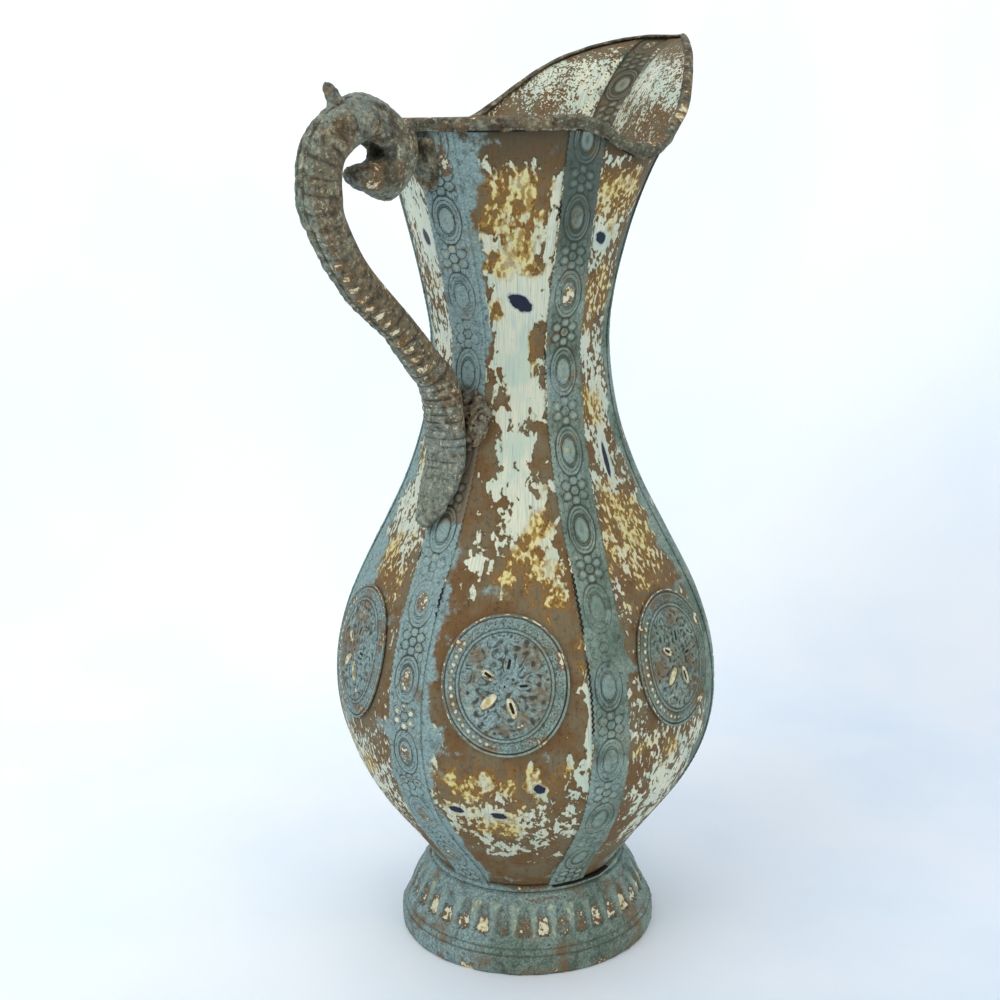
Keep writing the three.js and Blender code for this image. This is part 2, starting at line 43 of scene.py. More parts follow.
BODY_BOTTOM = 38.2
SEAT_RADIUS, BELLY_RADIUS, NECK_RADIUS = 46.5, 93, 42
BELLY_RISE, NECK_RISE, MOUTH_RISE = 91.8, 261.8, 360.4
MOUTH_BACK, MOUTH_HALF_WIDTH = 68, 66
SPOUT_REACH, SPOUT_RISE, SIDE_DIP = 137.5, 39, 12.5
BAND_WIDTH, BAND_LAP = 19, 2.5
BAND_TURN = math.radians(2.25)
BAND_LEAN = [1.3, 1.5, 1.5, 2.4, 5.2, 1.5]
FULL_TURN, SECTOR = 2 * math.pi, math.pi / 3
OVAL_START, OVAL_PITCH, SCALLOP = 59, 35.45, 2.7
OVAL_HALF_WIDTH, OVAL_HALF_LENGTH, ROSETTE_RADIUS = 5.9, 10.2, 8.2
DISC_HALF_WIDTH, DISC_HALF_HEIGHT, DISC_RISE = 28.5, 32, 117.5
DISC_BEADS, BEAD_INSET, BEAD_RING = 48, 4.4, 26
GORE_WALL, STRIP_WALL = 0.62, 0.6


def lerp(a, b, share):
    return a + (b - a) * share


def smooth(x):
    x = np.clip(x, 0, 1)
    return x * x * (3 - 2 * x)


def onset(x, start, run):
    """From 0 at the start to 1 where the run ends. A negative run goes down from the start."""
    return smooth((x - start) / run)


def hill(x, middle=0, half_width=1):
    """A soft ridge of height one."""
    return np.exp(-(((x - middle) / half_width) ** 2))


def ridges(x, *ridge_list):
    """Soft ridges and grooves added up: height, middle and half width of each."""
    return sum(height * hill(x, middle, half_width) for height, middle, half_width in ridge_list)


def xyz(x, y, z):
    return np.stack(np.broadcast_arrays(x, y, z), axis=-1)


def polar(places):
    """Distance from the axis and turn about it."""
    return np.hypot(places[:, 0], places[:, 1]), np.arctan2(places[:, 1], places[:, 0])


def degrees_past(angle, start):
    """Turn from a start given in radians, -180 to 180."""
    return np.degrees(np.arctan2(np.sin(angle - start), np.cos(angle - start)))


def rough_field(points, size, seed):
    """Smooth random heights from -1 to 1 at points in space, with lumps of about the given size."""
    rng = np.random.default_rng(seed)
    total = np.zeros(len(points))
    for _ in range(14):
        way = rng.normal(size=3)
        way *= FULL_TURN / (size * np.linalg.norm(way)) * rng.uniform(0.55, 1.25)
        total += np.sin(points @ way + rng.uniform(0, FULL_TURN))
    return total / 3.7


# The skin that gores and bands follow

def knotted_curve(points, count, closed):
    """A smooth curve through the points, knots spaced by the root of their distance."""
    points = np.array(points, float)
    size = len(points)
    spans = size if closed else size - 1
    if not closed:
        points = np.vstack([2 * points[0] - points[1], points, 2 * points[-1] - points[-2]])
    shares = np.linspace(0, spans, count, endpoint=not closed)
    place = np.minimum(shares.astype(int), spans - 1)
    w = (shares - place)[:, None]
    shift = -1 if closed else 0
    p = [points[(place + j + shift) % len(points)] for j in range(4)]
    gap = [np.linalg.norm(p[j + 1] - p[j], axis=1)[:, None] ** 0.5 for j in range(3)]
    slopes = [(p[j + 1] - p[j]) / gap[j] for j in range(3)]
    start = (slopes[0] - (p[2] - p[0]) / (gap[0] + gap[1]) + slopes[1]) * gap[1]
    end = (slopes[1] - (p[3] - p[1]) / (gap[1] + gap[2]) + slopes[2]) * gap[1]
    square = -3 * p[1] + 3 * p[2] - 2 * start - end
    cube = 2 * p[1] - 2 * p[2] + start + end
    return p[1] + start * w + square * w**2 + cube * w**3


def mouth_edge():
    """Azimuth, radius and height of the mouth's edge."""
    level = BODY_BOTTOM + MOUTH_RISE
    half = [
        (-0.84 * MOUTH_BACK, 0.375 * MOUTH_HALF_WIDTH, 0),
        (-0.62 * MOUTH_BACK, 0.71 * MOUTH_HALF_WIDTH, 0),
        (-0.36 * MOUTH_BACK, 0.87 * MOUTH_HALF_WIDTH, -0.05 * SIDE_DIP),
        (0.06 * MOUTH_BACK, MOUTH_HALF_WIDTH, -SIDE_DIP),
        (0.31 * SPOUT_REACH, 0.92 * MOUTH_HALF_WIDTH, 0.03 * SPOUT_RISE),
        (0.62 * SPOUT_REACH, 0.59 * MOUTH_HALF_WIDTH, 0.72 * SPOUT_RISE),
        (0.865 * SPOUT_REACH, 0.22 * MOUTH_HALF_WIDTH, 0.98 * SPOUT_RISE),
    ]
    ring = [(-MOUTH_BACK, 0, 0)] + half + [(SPOUT_REACH, 0, SPOUT_RISE)]
    ring += [(x, -y, z) for x, y, z in reversed(half)]
    curve = knotted_curve(ring, 1440, True) + np.array([0, 0, level])
    radius, angle = polar(curve)
    order = np.argsort(angle)
    return angle[order], radius[order], curve[order, 2]


EDGE_ANGLE, EDGE_RADIUS, EDGE_HEIGHT = mouth_edge()


def unit(vectors):
    return vectors / np.linalg.norm(vectors, axis=-1, keepdims=True)


def running_length(line):
    steps = np.linalg.norm(np.diff(line, axis=0), axis=1)
    return np.concatenate([[0], np.cumsum(steps)])


def bezier(p0, p1, p2, p3, t):
    a = 1 - t
    return a**3 * p0 + 3 * a * a * t * p1 + 3 * a * t * t * p2 + t**3 * p3


def round_point(angle, level):
    """The round form: level runs from 0 at the seat to 1 at the belly, 2 at the neck, 3 at the edge."""
    belly, neck = BODY_BOTTOM + BELLY_RISE, BODY_BOTTOM + NECK_RISE
    low, middle, top = np.clip(level, 0, 1), np.clip(level - 1, 0, 1), np.clip(level - 2, 0, 1)
    out = SEAT_RADIUS + 0.32 * (BELLY_RADIUS - SEAT_RADIUS)
    low_r = bezier(SEAT_RADIUS, out, BELLY_RADIUS, BELLY_RADIUS, low)
    low_z = BODY_BOTTOM + BELLY_RISE * bezier(0, 0.28, 0.5, 1, low)
    rise = neck - belly
    middle_r = bezier(BELLY_RADIUS, BELLY_RADIUS, NECK_RADIUS, NECK_RADIUS, middle)
    middle_z = bezier(belly, belly + 0.37 * rise, neck - 0.48 * rise, neck, middle)
    wrapped = np.arctan2(np.sin(angle), np.cos(angle))
    edge_r = np.interp(wrapped, EDGE_ANGLE, EDGE_RADIUS, period=FULL_TURN)
    edge_z = np.interp(wrapped, EDGE_ANGLE, EDGE_HEIGHT, period=FULL_TURN)
    span = np.hypot(edge_r - NECK_RADIUS, edge_z - neck)
    flare = ((1 + np.cos(angle)) / 2) ** 6
    back = (1 - np.cos(angle)) / 2
    slope = np.radians(lerp(60, 14, flare) + 18 * back)
    reach = (lerp(0.43, 0.27, flare) + 0.12 * back) * span
    above = neck + (lerp(0.1, 0.43, flare) + 0.02 * back) * span
    lip_r = bezier(NECK_RADIUS, NECK_RADIUS, edge_r - reach * np.cos(slope), edge_r, top)
    lip_z = bezier(neck, above, edge_z - reach * np.sin(slope), edge_z, top)
    radius = np.where(level < 1, low_r, np.where(level < 2, middle_r, lip_r))
    height = np.where(level < 1, low_z, np.where(level < 2, middle_z, lip_z))
    return xyz(radius * np.cos(angle), radius * np.sin(angle), height)


def roundness(level):
    low = lerp(1, 0.6, smooth(level))
    middle = lerp(0.6, 0.05, smooth(level - 1))
    top = lerp(0.05, 1, smooth(level - 2))
    return np.where(level < 1, low, np.where(level < 2, middle, top))


def band_edges(k, level):
    centre = BAND_TURN + k * SECTOR + math.radians(BAND_LEAN[k % 6]) * onset(level, 1.1, 1.6)
    middle = round_point(centre, level)
    edges = []
    for side in (-1, 1):
        turn = np.arcsin(BAND_WIDTH / 2 / np.hypot(middle[..., 0], middle[..., 1]))
        for _ in range(4):
            reached = np.linalg.norm(round_point(centre + side * turn, level) - middle, axis=-1)
            turn = turn * BAND_WIDTH / 2 / reached
        edges.append(centre + side * turn)
    return edges


def on_chord(angle_a, angle_b, share, level):
    flat = lerp(round_point(angle_a, level), round_point(angle_b, level), share[..., None])
    arched = round_point(lerp(angle_a, angle_b, share), level)
    return lerp(flat, arched, roundness(level)[..., None])


def band_point(k, across, level):
    start, end = band_edges(k, level)
    return on_chord(start, end, 0.5 + across / BAND_WIDTH, level)


def gore_point(k, share, level):
    return on_chord(band_edges(k, level)[1], band_edges(k + 1, level)[0], share, level)


def gore_width(k, level):
    half = np.full_like(level, 0.5)
    left, middle, right = (gore_point(k, share, level) for share in (0 * half, half, 2 * half))
    return np.linalg.norm(middle - left, axis=-1) + np.linalg.norm(right - middle, axis=-1)


def gore_skin(k, along_line, x, s):
    """A point of gore k at x across from its left edge, negative under the band, and s along."""
    level = along_line(s)
    width = gore_width(k, level)
    inside = gore_point(k, np.clip(x / width, 0, 1), level)
    left = band_point(k, BAND_WIDTH / 2 + np.minimum(x, 0), level)
    right = band_point(k + 1, np.maximum(x - width, 0) - BAND_WIDTH / 2, level)
    point = np.where((x < 0)[..., None], left, inside)
    return np.where((x > width)[..., None], right, point)


def measured(line):
    """Turns length along a line of the skin into level. Returns that function and the whole length."""
    levels = np.linspace(0, 3, 1500)
    lengths = running_length(line(levels))
    return (lambda s: np.interp(s, lengths, levels)), lengths[-1]


def measured_gore(k):
    return measured(lambda level: gore_point(k, np.full_like(level, 0.5), level))


def sampled(place, half_a, half_b, step):
    """Samples a surface of two lengths on a grid. Returns a function that reads points and normals."""
    a = np.arange(-half_a, half_a + step, step)
    b = np.arange(-half_b, half_b + step, step)
    grid_a, grid_b = np.meshgrid(a, b, indexing="ij")
    points = place(grid_a.ravel(), grid_b.ravel()).reshape(len(a), len(b), 3)
    normals = unit(np.cross(np.gradient(points, axis=0), np.gradient(points, axis=1)))

    def read(x, y):
        i = np.clip((x + half_a) / step, 0, len(a) - 1.001)
        j = np.clip((y + half_b) / step, 0, len(b) - 1.001)
        i0, j0 = i.astype(int), j.astype(int)
        fi, fj = (i - i0)[:, None], (j - j0)[:, None]
        near = [lerp(g[i0, j0], g[i0 + 1, j0], fi) for g in (points, normals)]
        far = [lerp(g[i0, j0 + 1], g[i0 + 1, j0 + 1], fi) for g in (points, normals)]
        return [lerp(n, m, fj) for n, m in zip(near, far)]

    return read


def skin_normal(place, a, b, step_a=0.3, step_b=0.4):
    """Outward normal of a surface given by a function of two lengths."""
    along_a = place(a + step_a, b) - place(a - step_a, b)
    along_b = place(a, b + step_b) - place(a, b - step_b)
    return unit(np.cross(along_a, along_b))


# Making meshes

def new_object(name, mesh, *finishes):
    mesh.polygons.foreach_set("use_smooth", [True] * len(mesh.polygons))
    made = bpy.data.objects.new(name, mesh)
    bpy.context.scene.collection.objects.link(made)
    for finish in finishes:
        mesh.materials.append(finish)
    return made


def new_piece(name, mesh, cad_node, slot, *finishes):
    """An object from a mesh, standing for a CAD node and riding on the jug."""
    piece = new_object(name, mesh, *finishes)
    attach(piece, "root")
    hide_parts(cad_node)
    return piece


def mesh_of(bm):
    mesh = bpy.data.meshes.new("sheet")
    bm.to_mesh(mesh)
    bm.free()
    return mesh


def places_of(mesh):
    """The points of a mesh in millimetres."""
    flat = np.empty(len(mesh.vertices) * 3)
    mesh.vertices.foreach_get("co", flat)
    return flat.reshape(-1, 3) * 1000


def put(mesh, places, values):
    """Puts the points of a mesh in place and keeps values on them as attributes."""
    mesh.vertices.foreach_set("co", (places * 0.001).ravel())
    for key, value in values.items():
        layer = mesh.attributes.new(key, "FLOAT", "POINT")
        layer.data.foreach_set("value", np.broadcast_to(value, len(places)).astype(float))
    mesh.update()


# Steps across and along each kind of sheet.
STEPS = {
    "gore": (56, 190), "strip": (38, 620), "disc": (288, 84), "rim": (520, 40), "handle": (72, 480),
    "horn": (36, 40), "cloth": (2, 120),
}


def formed_sheet(kind, form, size, wraps=False):
    """A grid whose points a function puts in place from their shares across and along.

    The function returns places in millimetres and a dictionary of values kept as attributes.
    size gives the sheet's real width and length, for the map that patterns follow.
    """
    bm = bmesh.new()
    bmesh.ops.create_grid(bm, x_segments=STEPS[kind][0], y_segments=STEPS[kind][1], size=0.5)
    mesh = mesh_of(bm)
    share = places_of(mesh)[:, :2] * 0.001 + 0.5
    put(mesh, *form(*share.T))
    corners = np.empty(len(mesh.loops), dtype=np.int32)
    mesh.loops.foreach_get("vertex_index", corners)
    sheet_map = mesh.uv_layers.new(name="sheet")
    sheet_map.data.foreach_set("uv", (share[corners] * np.array(size) / 10).ravel())
    if wraps:
        bm = bmesh.new()
        bm.from_mesh(mesh)
        bmesh.ops.remove_doubles(bm, verts=bm.verts, dist=2e-6)
        bmesh.ops.recalc_face_normals(bm, faces=bm.faces)
        bm.to_mesh(mesh)
        bm.free()
    return mesh


def add_wall(piece, thickness):
    """Gives a sheet its thickness, inwards from the face, with the second finish inside."""
    wall = piece.modifiers.new("wall", "SOLIDIFY")
    wall.thickness = thickness * 0.001
    wall.offset = -1
    wall.use_even_offset = False
    wall.material_offset = 1


def turned(profile, steps):
    """A profile of radius and height carried round the axis."""
    bm = bmesh.new()
    ring = [bm.verts.new((r * 0.001, 0, z * 0.001)) for r, z in profile]
    edges = [bm.edges.new(pair) for pair in zip(ring, ring[1:])]
    bmesh.ops.spin(
        bm, geom=ring + edges, cent=(0, 0, 0), axis=(0, 0, 1), angle=FULL_TURN,
        steps=steps, use_merge=True, use_duplicate=False,
    )
    bmesh.ops.remove_doubles(bm, verts=bm.verts, dist=1e-6)
    bmesh.ops.recalc_face_normals(bm, faces=bm.faces)
    return mesh_of(bm)


# Finishes

def tone(r, g, b):
    """A colour written as it looks, 0 to 255."""
    def line(c):
        c /= 255
        return c / 12.92 if c <= 0.04045 else ((c + 0.055) / 1.055) ** 2.4
    return (line(r), line(g), line(b), 1)


VERDIGRIS = tone(107, 127, 112)
VERDIGRIS_PALE = tone(150, 171, 157)
BLUE_VERDIGRIS_AND_LIT_SHEEN = tone(150, 176, 173)
DARK_VERDIGRIS_AND_SHADE = tone(56, 64, 54)
BROWN = tone(117, 87, 50)
BROWN_DARK = tone(64, 52, 36)
BROWN_GREY = tone(121, 107, 79)
OCHRE = tone(166, 131, 58)
GOLD_PALE = tone(224, 211, 142)
BARE = tone(228, 225, 194)
BARE_COOL = tone(190, 208, 196)
BARE_GREENISH = tone(176, 204, 188)
BARE_DULL = tone(138, 132, 104)
AMBER = tone(152, 106, 42)
BROWN_UNDER_RIM = tone(76, 72, 55)
WORN_EDGE = tone(172, 166, 128)
BURN_HALO = tone(150, 160, 168)
NAVY = tone(30, 38, 56)
SHADE_AND_CRACK_BLACK = tone(24, 22, 18)
COAT_ON_CAST = tone(120, 112, 84)
GRIME = tone(46, 42, 32)
DUST = tone(168, 166, 138)


class Finish:
    """A procedural finish, put together from patterns and blends."""

    def __init__(self, name):
        self.material = bpy.data.materials.new(name)
        self.material.use_nodes = True
        self.tree = self.material.node_tree
        self.surface = self.tree.nodes["Principled BSDF"]
        place = self.node("ShaderNodeTexCoord")
        self.here = place.outputs["Object"]
        self.sheet = place.outputs["UV"]

    def node(self, kind, **settings):
        made = self.tree.nodes.new(kind)
        for key, value in settings.items():
            setattr(made, key, value)
        return made

    def feed(self, socket, value):
        if isinstance(value, bpy.types.NodeSocket):
            self.tree.links.new(value, socket)
        else:
            socket.default_value = value

    def attribute(self, name):
        return self.node("ShaderNodeAttribute", attribute_name=name).outputs["Fac"]

    def noise(self, scale, detail=3, rough=0.55, warp=0, where=None):
        made = self.node("ShaderNodeTexNoise")
        self.feed(made.inputs["Vector"], self.here if where is None else where)
        keys = ("Scale", "Detail", "Roughness", "Distortion")
        for key, value in zip(keys, (scale, detail, rough, warp)):
            made.inputs[key].default_value = value
        return made.outputs["Fac"]

    def stretched(self, where, x, y, z):
        made = self.node("ShaderNodeMapping")
        self.feed(made.inputs["Vector"], where)
        made.inputs["Scale"].default_value = (x, y, z)
        return made.outputs["Vector"]

    def sum(self, a, b, kind="ADD"):
        made = self.node("ShaderNodeMath", operation=kind)
        self.feed(made.inputs[0], a)
        self.feed(made.inputs[1], b)
        return made.outputs[0]

    def times(self, a, b):
        return self.sum(a, b, "MULTIPLY")

    def shaken(self, value, pattern, amount):
        """A value that a pattern moves up and down."""
        return self.sum(value, self.times(self.sum(pattern, -0.5), amount))

    def along(self, *way):
        made = self.node("ShaderNodeVectorMath", operation="DOT_PRODUCT")
        self.feed(made.inputs[0], self.here)
        made.inputs[1].default_value = way
        return made.outputs["Value"]

    def ramp(self, value, low, high, to_low=0, to_high=1):
        made = self.node("ShaderNodeMapRange", interpolation_type="SMOOTHSTEP")
        self.feed(made.inputs[0], value)
        for socket, number in zip(made.inputs[1:5], (low, high, to_low, to_high)):
            socket.default_value = number
        return made.outputs[0]

    def blend(self, share, a, b):
        made = self.node("ShaderNodeMix", data_type="RGBA")
        for socket, value in zip((made.inputs[0], made.inputs[6], made.inputs[7]), (share, a, b)):
            self.feed(socket, value)
        return made.outputs[2]

    def layers(self, colour, *layers):
        """Lays colours over one another, each with its pattern, its low and high, the most it covers."""
        for shade, pattern, low, high, *most in layers:
            colour = self.blend(self.ramp(pattern, low, high, 0, *most), colour, shade)
        return colour

    def done(self, colour, roughness, metal, height, depth=0.0004):
        for key, value in (("Base Color", colour), ("Roughness", roughness), ("Metallic", metal)):
            self.feed(self.surface.inputs[key], value)
        self.surface.inputs["Specular IOR Level"].default_value = 0.35
        bump = self.node("ShaderNodeBump")
        bump.inputs["Strength"].default_value = 0.7
        bump.inputs["Distance"].default_value = depth
        self.feed(bump.inputs["Height"], height)
        self.feed(self.surface.inputs["Normal"], bump.outputs["Normal"])
        return self.material


def verdigris_coat(f, dark=0, lit_side_blue=0.45):
    """The dull green coat on all pieces: dusty and stained, bluer on the side towards the window lamp as
    painted sheen, and darker under the rim on the other side as painted shade.
    """
    clouds, grain, grit = f.noise(42, 4, 0.62), f.noise(950, 2, 0.6), f.noise(430, 4, 0.7)
    side = f.along(-0.6156, 0.788, 0)
    stains = f.noise(85, 5, 0.68)
    colour = f.layers(
        VERDIGRIS,
        (VERDIGRIS_PALE, clouds, 0.38, 0.64),
        # Blue patches of verdigris, with more blue on the side towards the window lamp: painted sheen
        # from that light.
        (BLUE_VERDIGRIS_AND_LIT_SHEEN, f.sum(f.noise(24), f.ramp(side, -0.02, 0.05, 0, lit_side_blue)), 0.5, 0.78),
        (BROWN_GREY, stains, 0.55, 0.68, 0.5),
        (DARK_VERDIGRIS_AND_SHADE, stains, 0.44, 0.34, 0.45),
        (VERDIGRIS_PALE, grit, 0.55, 0.7, 0.55),
        (DARK_VERDIGRIS_AND_SHADE, grit, 0.46, 0.34, 0.7),
    )
    colour = f.blend(f.ramp(grain, 0.44, 0.6, 0.3 + dark, 0), colour, DARK_VERDIGRIS_AND_SHADE)
    # Painted shade: darker from 310 to 370 mm up, below the rim, on the side away from the window lamp.
    painted_shade_under_rim = f.times(f.ramp(f.along(0, 0, 1), 0.31, 0.37, 0, 0.75), f.ramp(side, 0.01, -0.02))
    return f.blend(painted_shade_under_rim, colour, DARK_VERDIGRIS_AND_SHADE), f.sum(f.times(grain, 0.4), grit)


def sheet_finish(name, fine, worn_shift=0, inside=False):
    """Sheet of the gores: bare brushed metal, brown and gold lacquer and a green coat at the edges.

    The attributes worn, gilt, green and spot say where each tends to lie, crumbly how finely it breaks
    up, and patterns do the breaking.
    """
    f = Finish(name)
    drawn = f.stretched(f.here, 1, 1, 0.62)
    blots = f.noise(fine, 2, 0.5, 0.5, drawn)
    crumbs = f.noise(fine * 2.7, 2, 0.5, 0.3, drawn)
    crumbly = f.attribute("crumbly")
    worn = f.shaken(f.attribute("worn"), blots, f.ramp(crumbly, 0, 1, 2.3, 1.1))
    worn = f.sum(f.shaken(worn, crumbs, f.ramp(crumbly, 0, 1, 0.9, 2.8)), worn_shift)
    streaks = f.noise(1, 4, 0.7, where=f.stretched(f.sheet, 9, 0.5, 1))
    haze = f.noise(64, 4, 0.62)
    gilt = f.ramp(f.shaken(f.attribute("gilt"), haze, 1.4), 0.3, 0.6)
    bare = f.layers(
        BARE_COOL,
        (BARE, streaks, 0.38, 0.58),
        (BARE_GREENISH, f.noise(46), 0.48, 0.62, 0.45),
        (BARE_DULL, streaks, 0.42, 0.3, 0.55),
    )
    gold = f.layers(OCHRE, (GOLD_PALE, crumbs, 0.42, 0.6))
    bare = f.blend(f.times(gilt, f.ramp(haze, 0.36, 0.6, 0.35, 0.95)), bare, gold)
    brown = f.layers(
        BROWN,
        (BROWN_GREY, haze, 0.38, 0.62),
        (BROWN_DARK, streaks, 0.48, 0.34, 0.3),
        (BROWN_DARK, f.noise(520, 3, 0.7), 0.46, 0.34, 0.5),
    )
    brown = f.blend(f.times(gilt, f.ramp(worn, 0.12, 0.42, 0, 0.75)), brown, AMBER)
    if not inside:
        high = f.sum(f.along(0, 0, 1), f.times(haze, 0.04))
        brown = f.layers(brown, (BROWN_UNDER_RIM, high, 0.385, 0.412, 0.75))
    coat, grain = verdigris_coat(f)
    edge = f.shaken(f.attribute("green"), f.noise(58, 5, 0.68), 1.6)
    green = f.ramp(edge, 0.42, 0.58)
    burn = f.shaken(f.attribute("spot"), crumbs, 0.5)
    colour = f.layers(
        brown,
        # A dark line round the worn patches: the lacquer's edge, deepened as painted shade.
        (BROWN_DARK, worn, 0.38, 0.46, 0.7),
        (f.blend(gilt, WORN_EDGE, OCHRE), worn, 0.46, 0.5),
        (bare, f.sum(worn, f.times(gilt, -0.09)), 0.49, 0.58),
        (coat, edge, 0.42, 0.58),
        (BURN_HALO, burn, 0.3, 0.5, 0.6),
        (NAVY, burn, 0.5, 0.62),
    )
    bright = f.times(f.ramp(worn, 0.5, 0.6), f.ramp(green, 0, 1, 1, 0))
    roughness = f.shaken(f.ramp(bright, 0, 1, 0.78, 0.48), grain, 0.2)
    height = f.sum(f.times(f.ramp(worn, 0.42, 0.54), -0.6), f.times(streaks, 0.35))
    height = f.sum(height, f.times(grain, 0.35))
    return f.done(colour, roughness, f.times(bright, 0 if inside else 0.3), height)


def stamped_finish(name, tops, flecks, brown=0, rust_shift=0, lit_side_blue=0.45):
    """Stamped pieces: green coat, dark in the hollows from patina and painted shade, pale on the tops
    from rubbing and painted highlight, rubbed to brown and gold on some of the tops.
    """
    f = Finish(name)
    coat, grain = verdigris_coat(f, 2 * rust_shift, lit_side_blue)
    relief = f.attribute("relief")
    patches, crumbs = f.noise(34, 3, 0.6), f.noise(380, 3, 0.6)
    rust = f.sum(f.sum(f.noise(62, 4, 0.65), rust_shift), f.attribute("rust"))
    colour = f.layers(
        coat,
        (BROWN_GREY, rust, 0.57 - 1.4 * brown, 0.7 - 1.4 * brown, 0.5 + brown),
        (BROWN, rust, 0.64 - 0.8 * brown, 0.74, 0.6),
        # Patina and dirt in the hollows, darkened further as painted shade.
        (f.layers(DARK_VERDIGRIS_AND_SHADE, (BROWN_DARK, patches, 0.42, 0.6)), relief, -0.02, -0.26, 0.88),
    )
    # Tops rubbed pale: wear, which also serves as painted highlight on the relief.
    rubbed = f.times(f.ramp(relief, 0.1, 0.34), f.ramp(patches, 0.4, 0.62, 0.25, tops))
    colour = f.blend(rubbed, colour, BARE_COOL if brown else VERDIGRIS_PALE)
    gold = f.times(f.ramp(relief, 0.02, 0.25), f.ramp(patches, 0.52, 0.6))
    colour = f.blend(f.times(gold, f.ramp(crumbs, 0.52, 0.6, 0, flecks)), colour, GOLD_PALE)
    shine = f.shaken(f.attribute("shine"), crumbs, 1.5)
    colour = f.layers(
        colour,
        (BROWN, shine, 0.26, 0.42, 0.85),
        (f.layers(f.blend(patches, OCHRE, GOLD_PALE), (BARE, crumbs, 0.38, 0.6)), shine, 0.52, 0.62),
        # Black where the pit attribute says: painted shade in pits, in gaps under lifted strip edges and
        # along the foot's bottom edge; a crack on the collar.
        (SHADE_AND_CRACK_BLACK, f.attribute("pit"), 0.35, 0.7),
    )
    bright = f.ramp(shine, 0.52, 0.62)
    roughness = f.shaken(f.ramp(bright, 0, 1, 0.72, 0.42), grain, 0.25)
    height = f.sum(f.times(grain, 0.9), f.times(rust, 0.6))
    return f.done(colour, roughness, f.times(bright, 0.35), height)


def cast_finish(name, base, flecks):
    """Cast and folded pieces: brown grey, grainy, green where the attribute says, flecked with gold."""
    f = Finish(name)
    coat, grain = verdigris_coat(f, 0.1, 0.12)
    relief = f.attribute("relief")
    clouds, lumps, grains = f.noise(84, 5, 0.66), f.noise(300, 4, 0.7), f.noise(560, 2, 0.6)
    colour = f.layers(
        base,
        (BROWN_GREY, f.noise(140, 4, 0.68), 0.38, 0.62),
        (BROWN, clouds, 0.48, 0.36, 0.45),
        (f.blend(0.38, coat, COAT_ON_CAST), f.sum(clouds, f.attribute("green")), 0.44, 0.68, 0.85),
        # Dirt in the hollows, darkened further as painted shade.
        (BROWN_DARK, relief, 0.05, -0.3, 0.8),
        (GRIME, lumps, 0.47, 0.33, 0.72),
        (DUST, lumps, 0.52, 0.66, 0.68),
        (GRIME, grains, 0.44, 0.34, 0.45),
    )
    specks = f.times(f.ramp(grains, 0.58, 0.64), f.ramp(clouds, 0.4, 0.6, 1, 0.35))
    specks = f.times(specks, f.ramp(relief, -0.1, 0.2, 0.1, flecks))
    shine = f.shaken(f.attribute("shine"), lumps, 1.2)
    colour = f.layers(
        f.blend(specks, colour, BARE),
        (BROWN, shine, 0.3, 0.48),
        (f.layers(OCHRE, (BARE, lumps, 0.44, 0.6)), shine, 0.5, 0.62),
        # Black where the pit attribute says: painted shade under the rim's hem, inside the handle's
        # scroll and in the deepest hollows of the solder and saddle.
        (SHADE_AND_CRACK_BLACK, f.attribute("pit"), 0.35, 0.7),
    )
    roughness = f.shaken(f.ramp(specks, 0, 1, 0.76, 0.5), grain, 0.3)
    metal = f.times(f.sum(specks, f.ramp(shine, 0.5, 0.62)), 0.3)
    return f.done(colour, roughness, metal, f.sum(f.times(grain, 0.5), lumps), 0.0005)


GORE_OUTSIDE = sheet_finish("worn_sheet_metal", 185)
GORE_INSIDE = sheet_finish("worn_sheet_metal_inside", 330, inside=True)
BAND_FINISH = stamped_finish("stamped_strip_verdigris", 0.7, 0.4, lit_side_blue=0.58)
BAND_INSIDE = stamped_finish("stamped_strip_inside", 0.7, 0.5, brown=0.16)
DISC_FINISH = stamped_finish("stamped_disc_verdigris", 0.5, 0.3, rust_shift=0.09, lit_side_blue=0.75)
FOOT_FINISH = stamped_finish("fluted_foot_verdigris", 0.5, 0.6, rust_shift=0.08, lit_side_blue=0.45)
RIM_FINISH = cast_finish("folded_rim_brown", tone(72, 64, 49), 0.4)
HANDLE_FINISH = cast_finish("cast_handle_brown", tone(98, 93, 74), 0.7)
SOLDER_FINISH = cast_finish("rough_solder", tone(96, 80, 66), 0.1)
SADDLE_FINISH = cast_finish("saddle_plate_brown", tone(96, 99, 80), 0.3)


# Gores

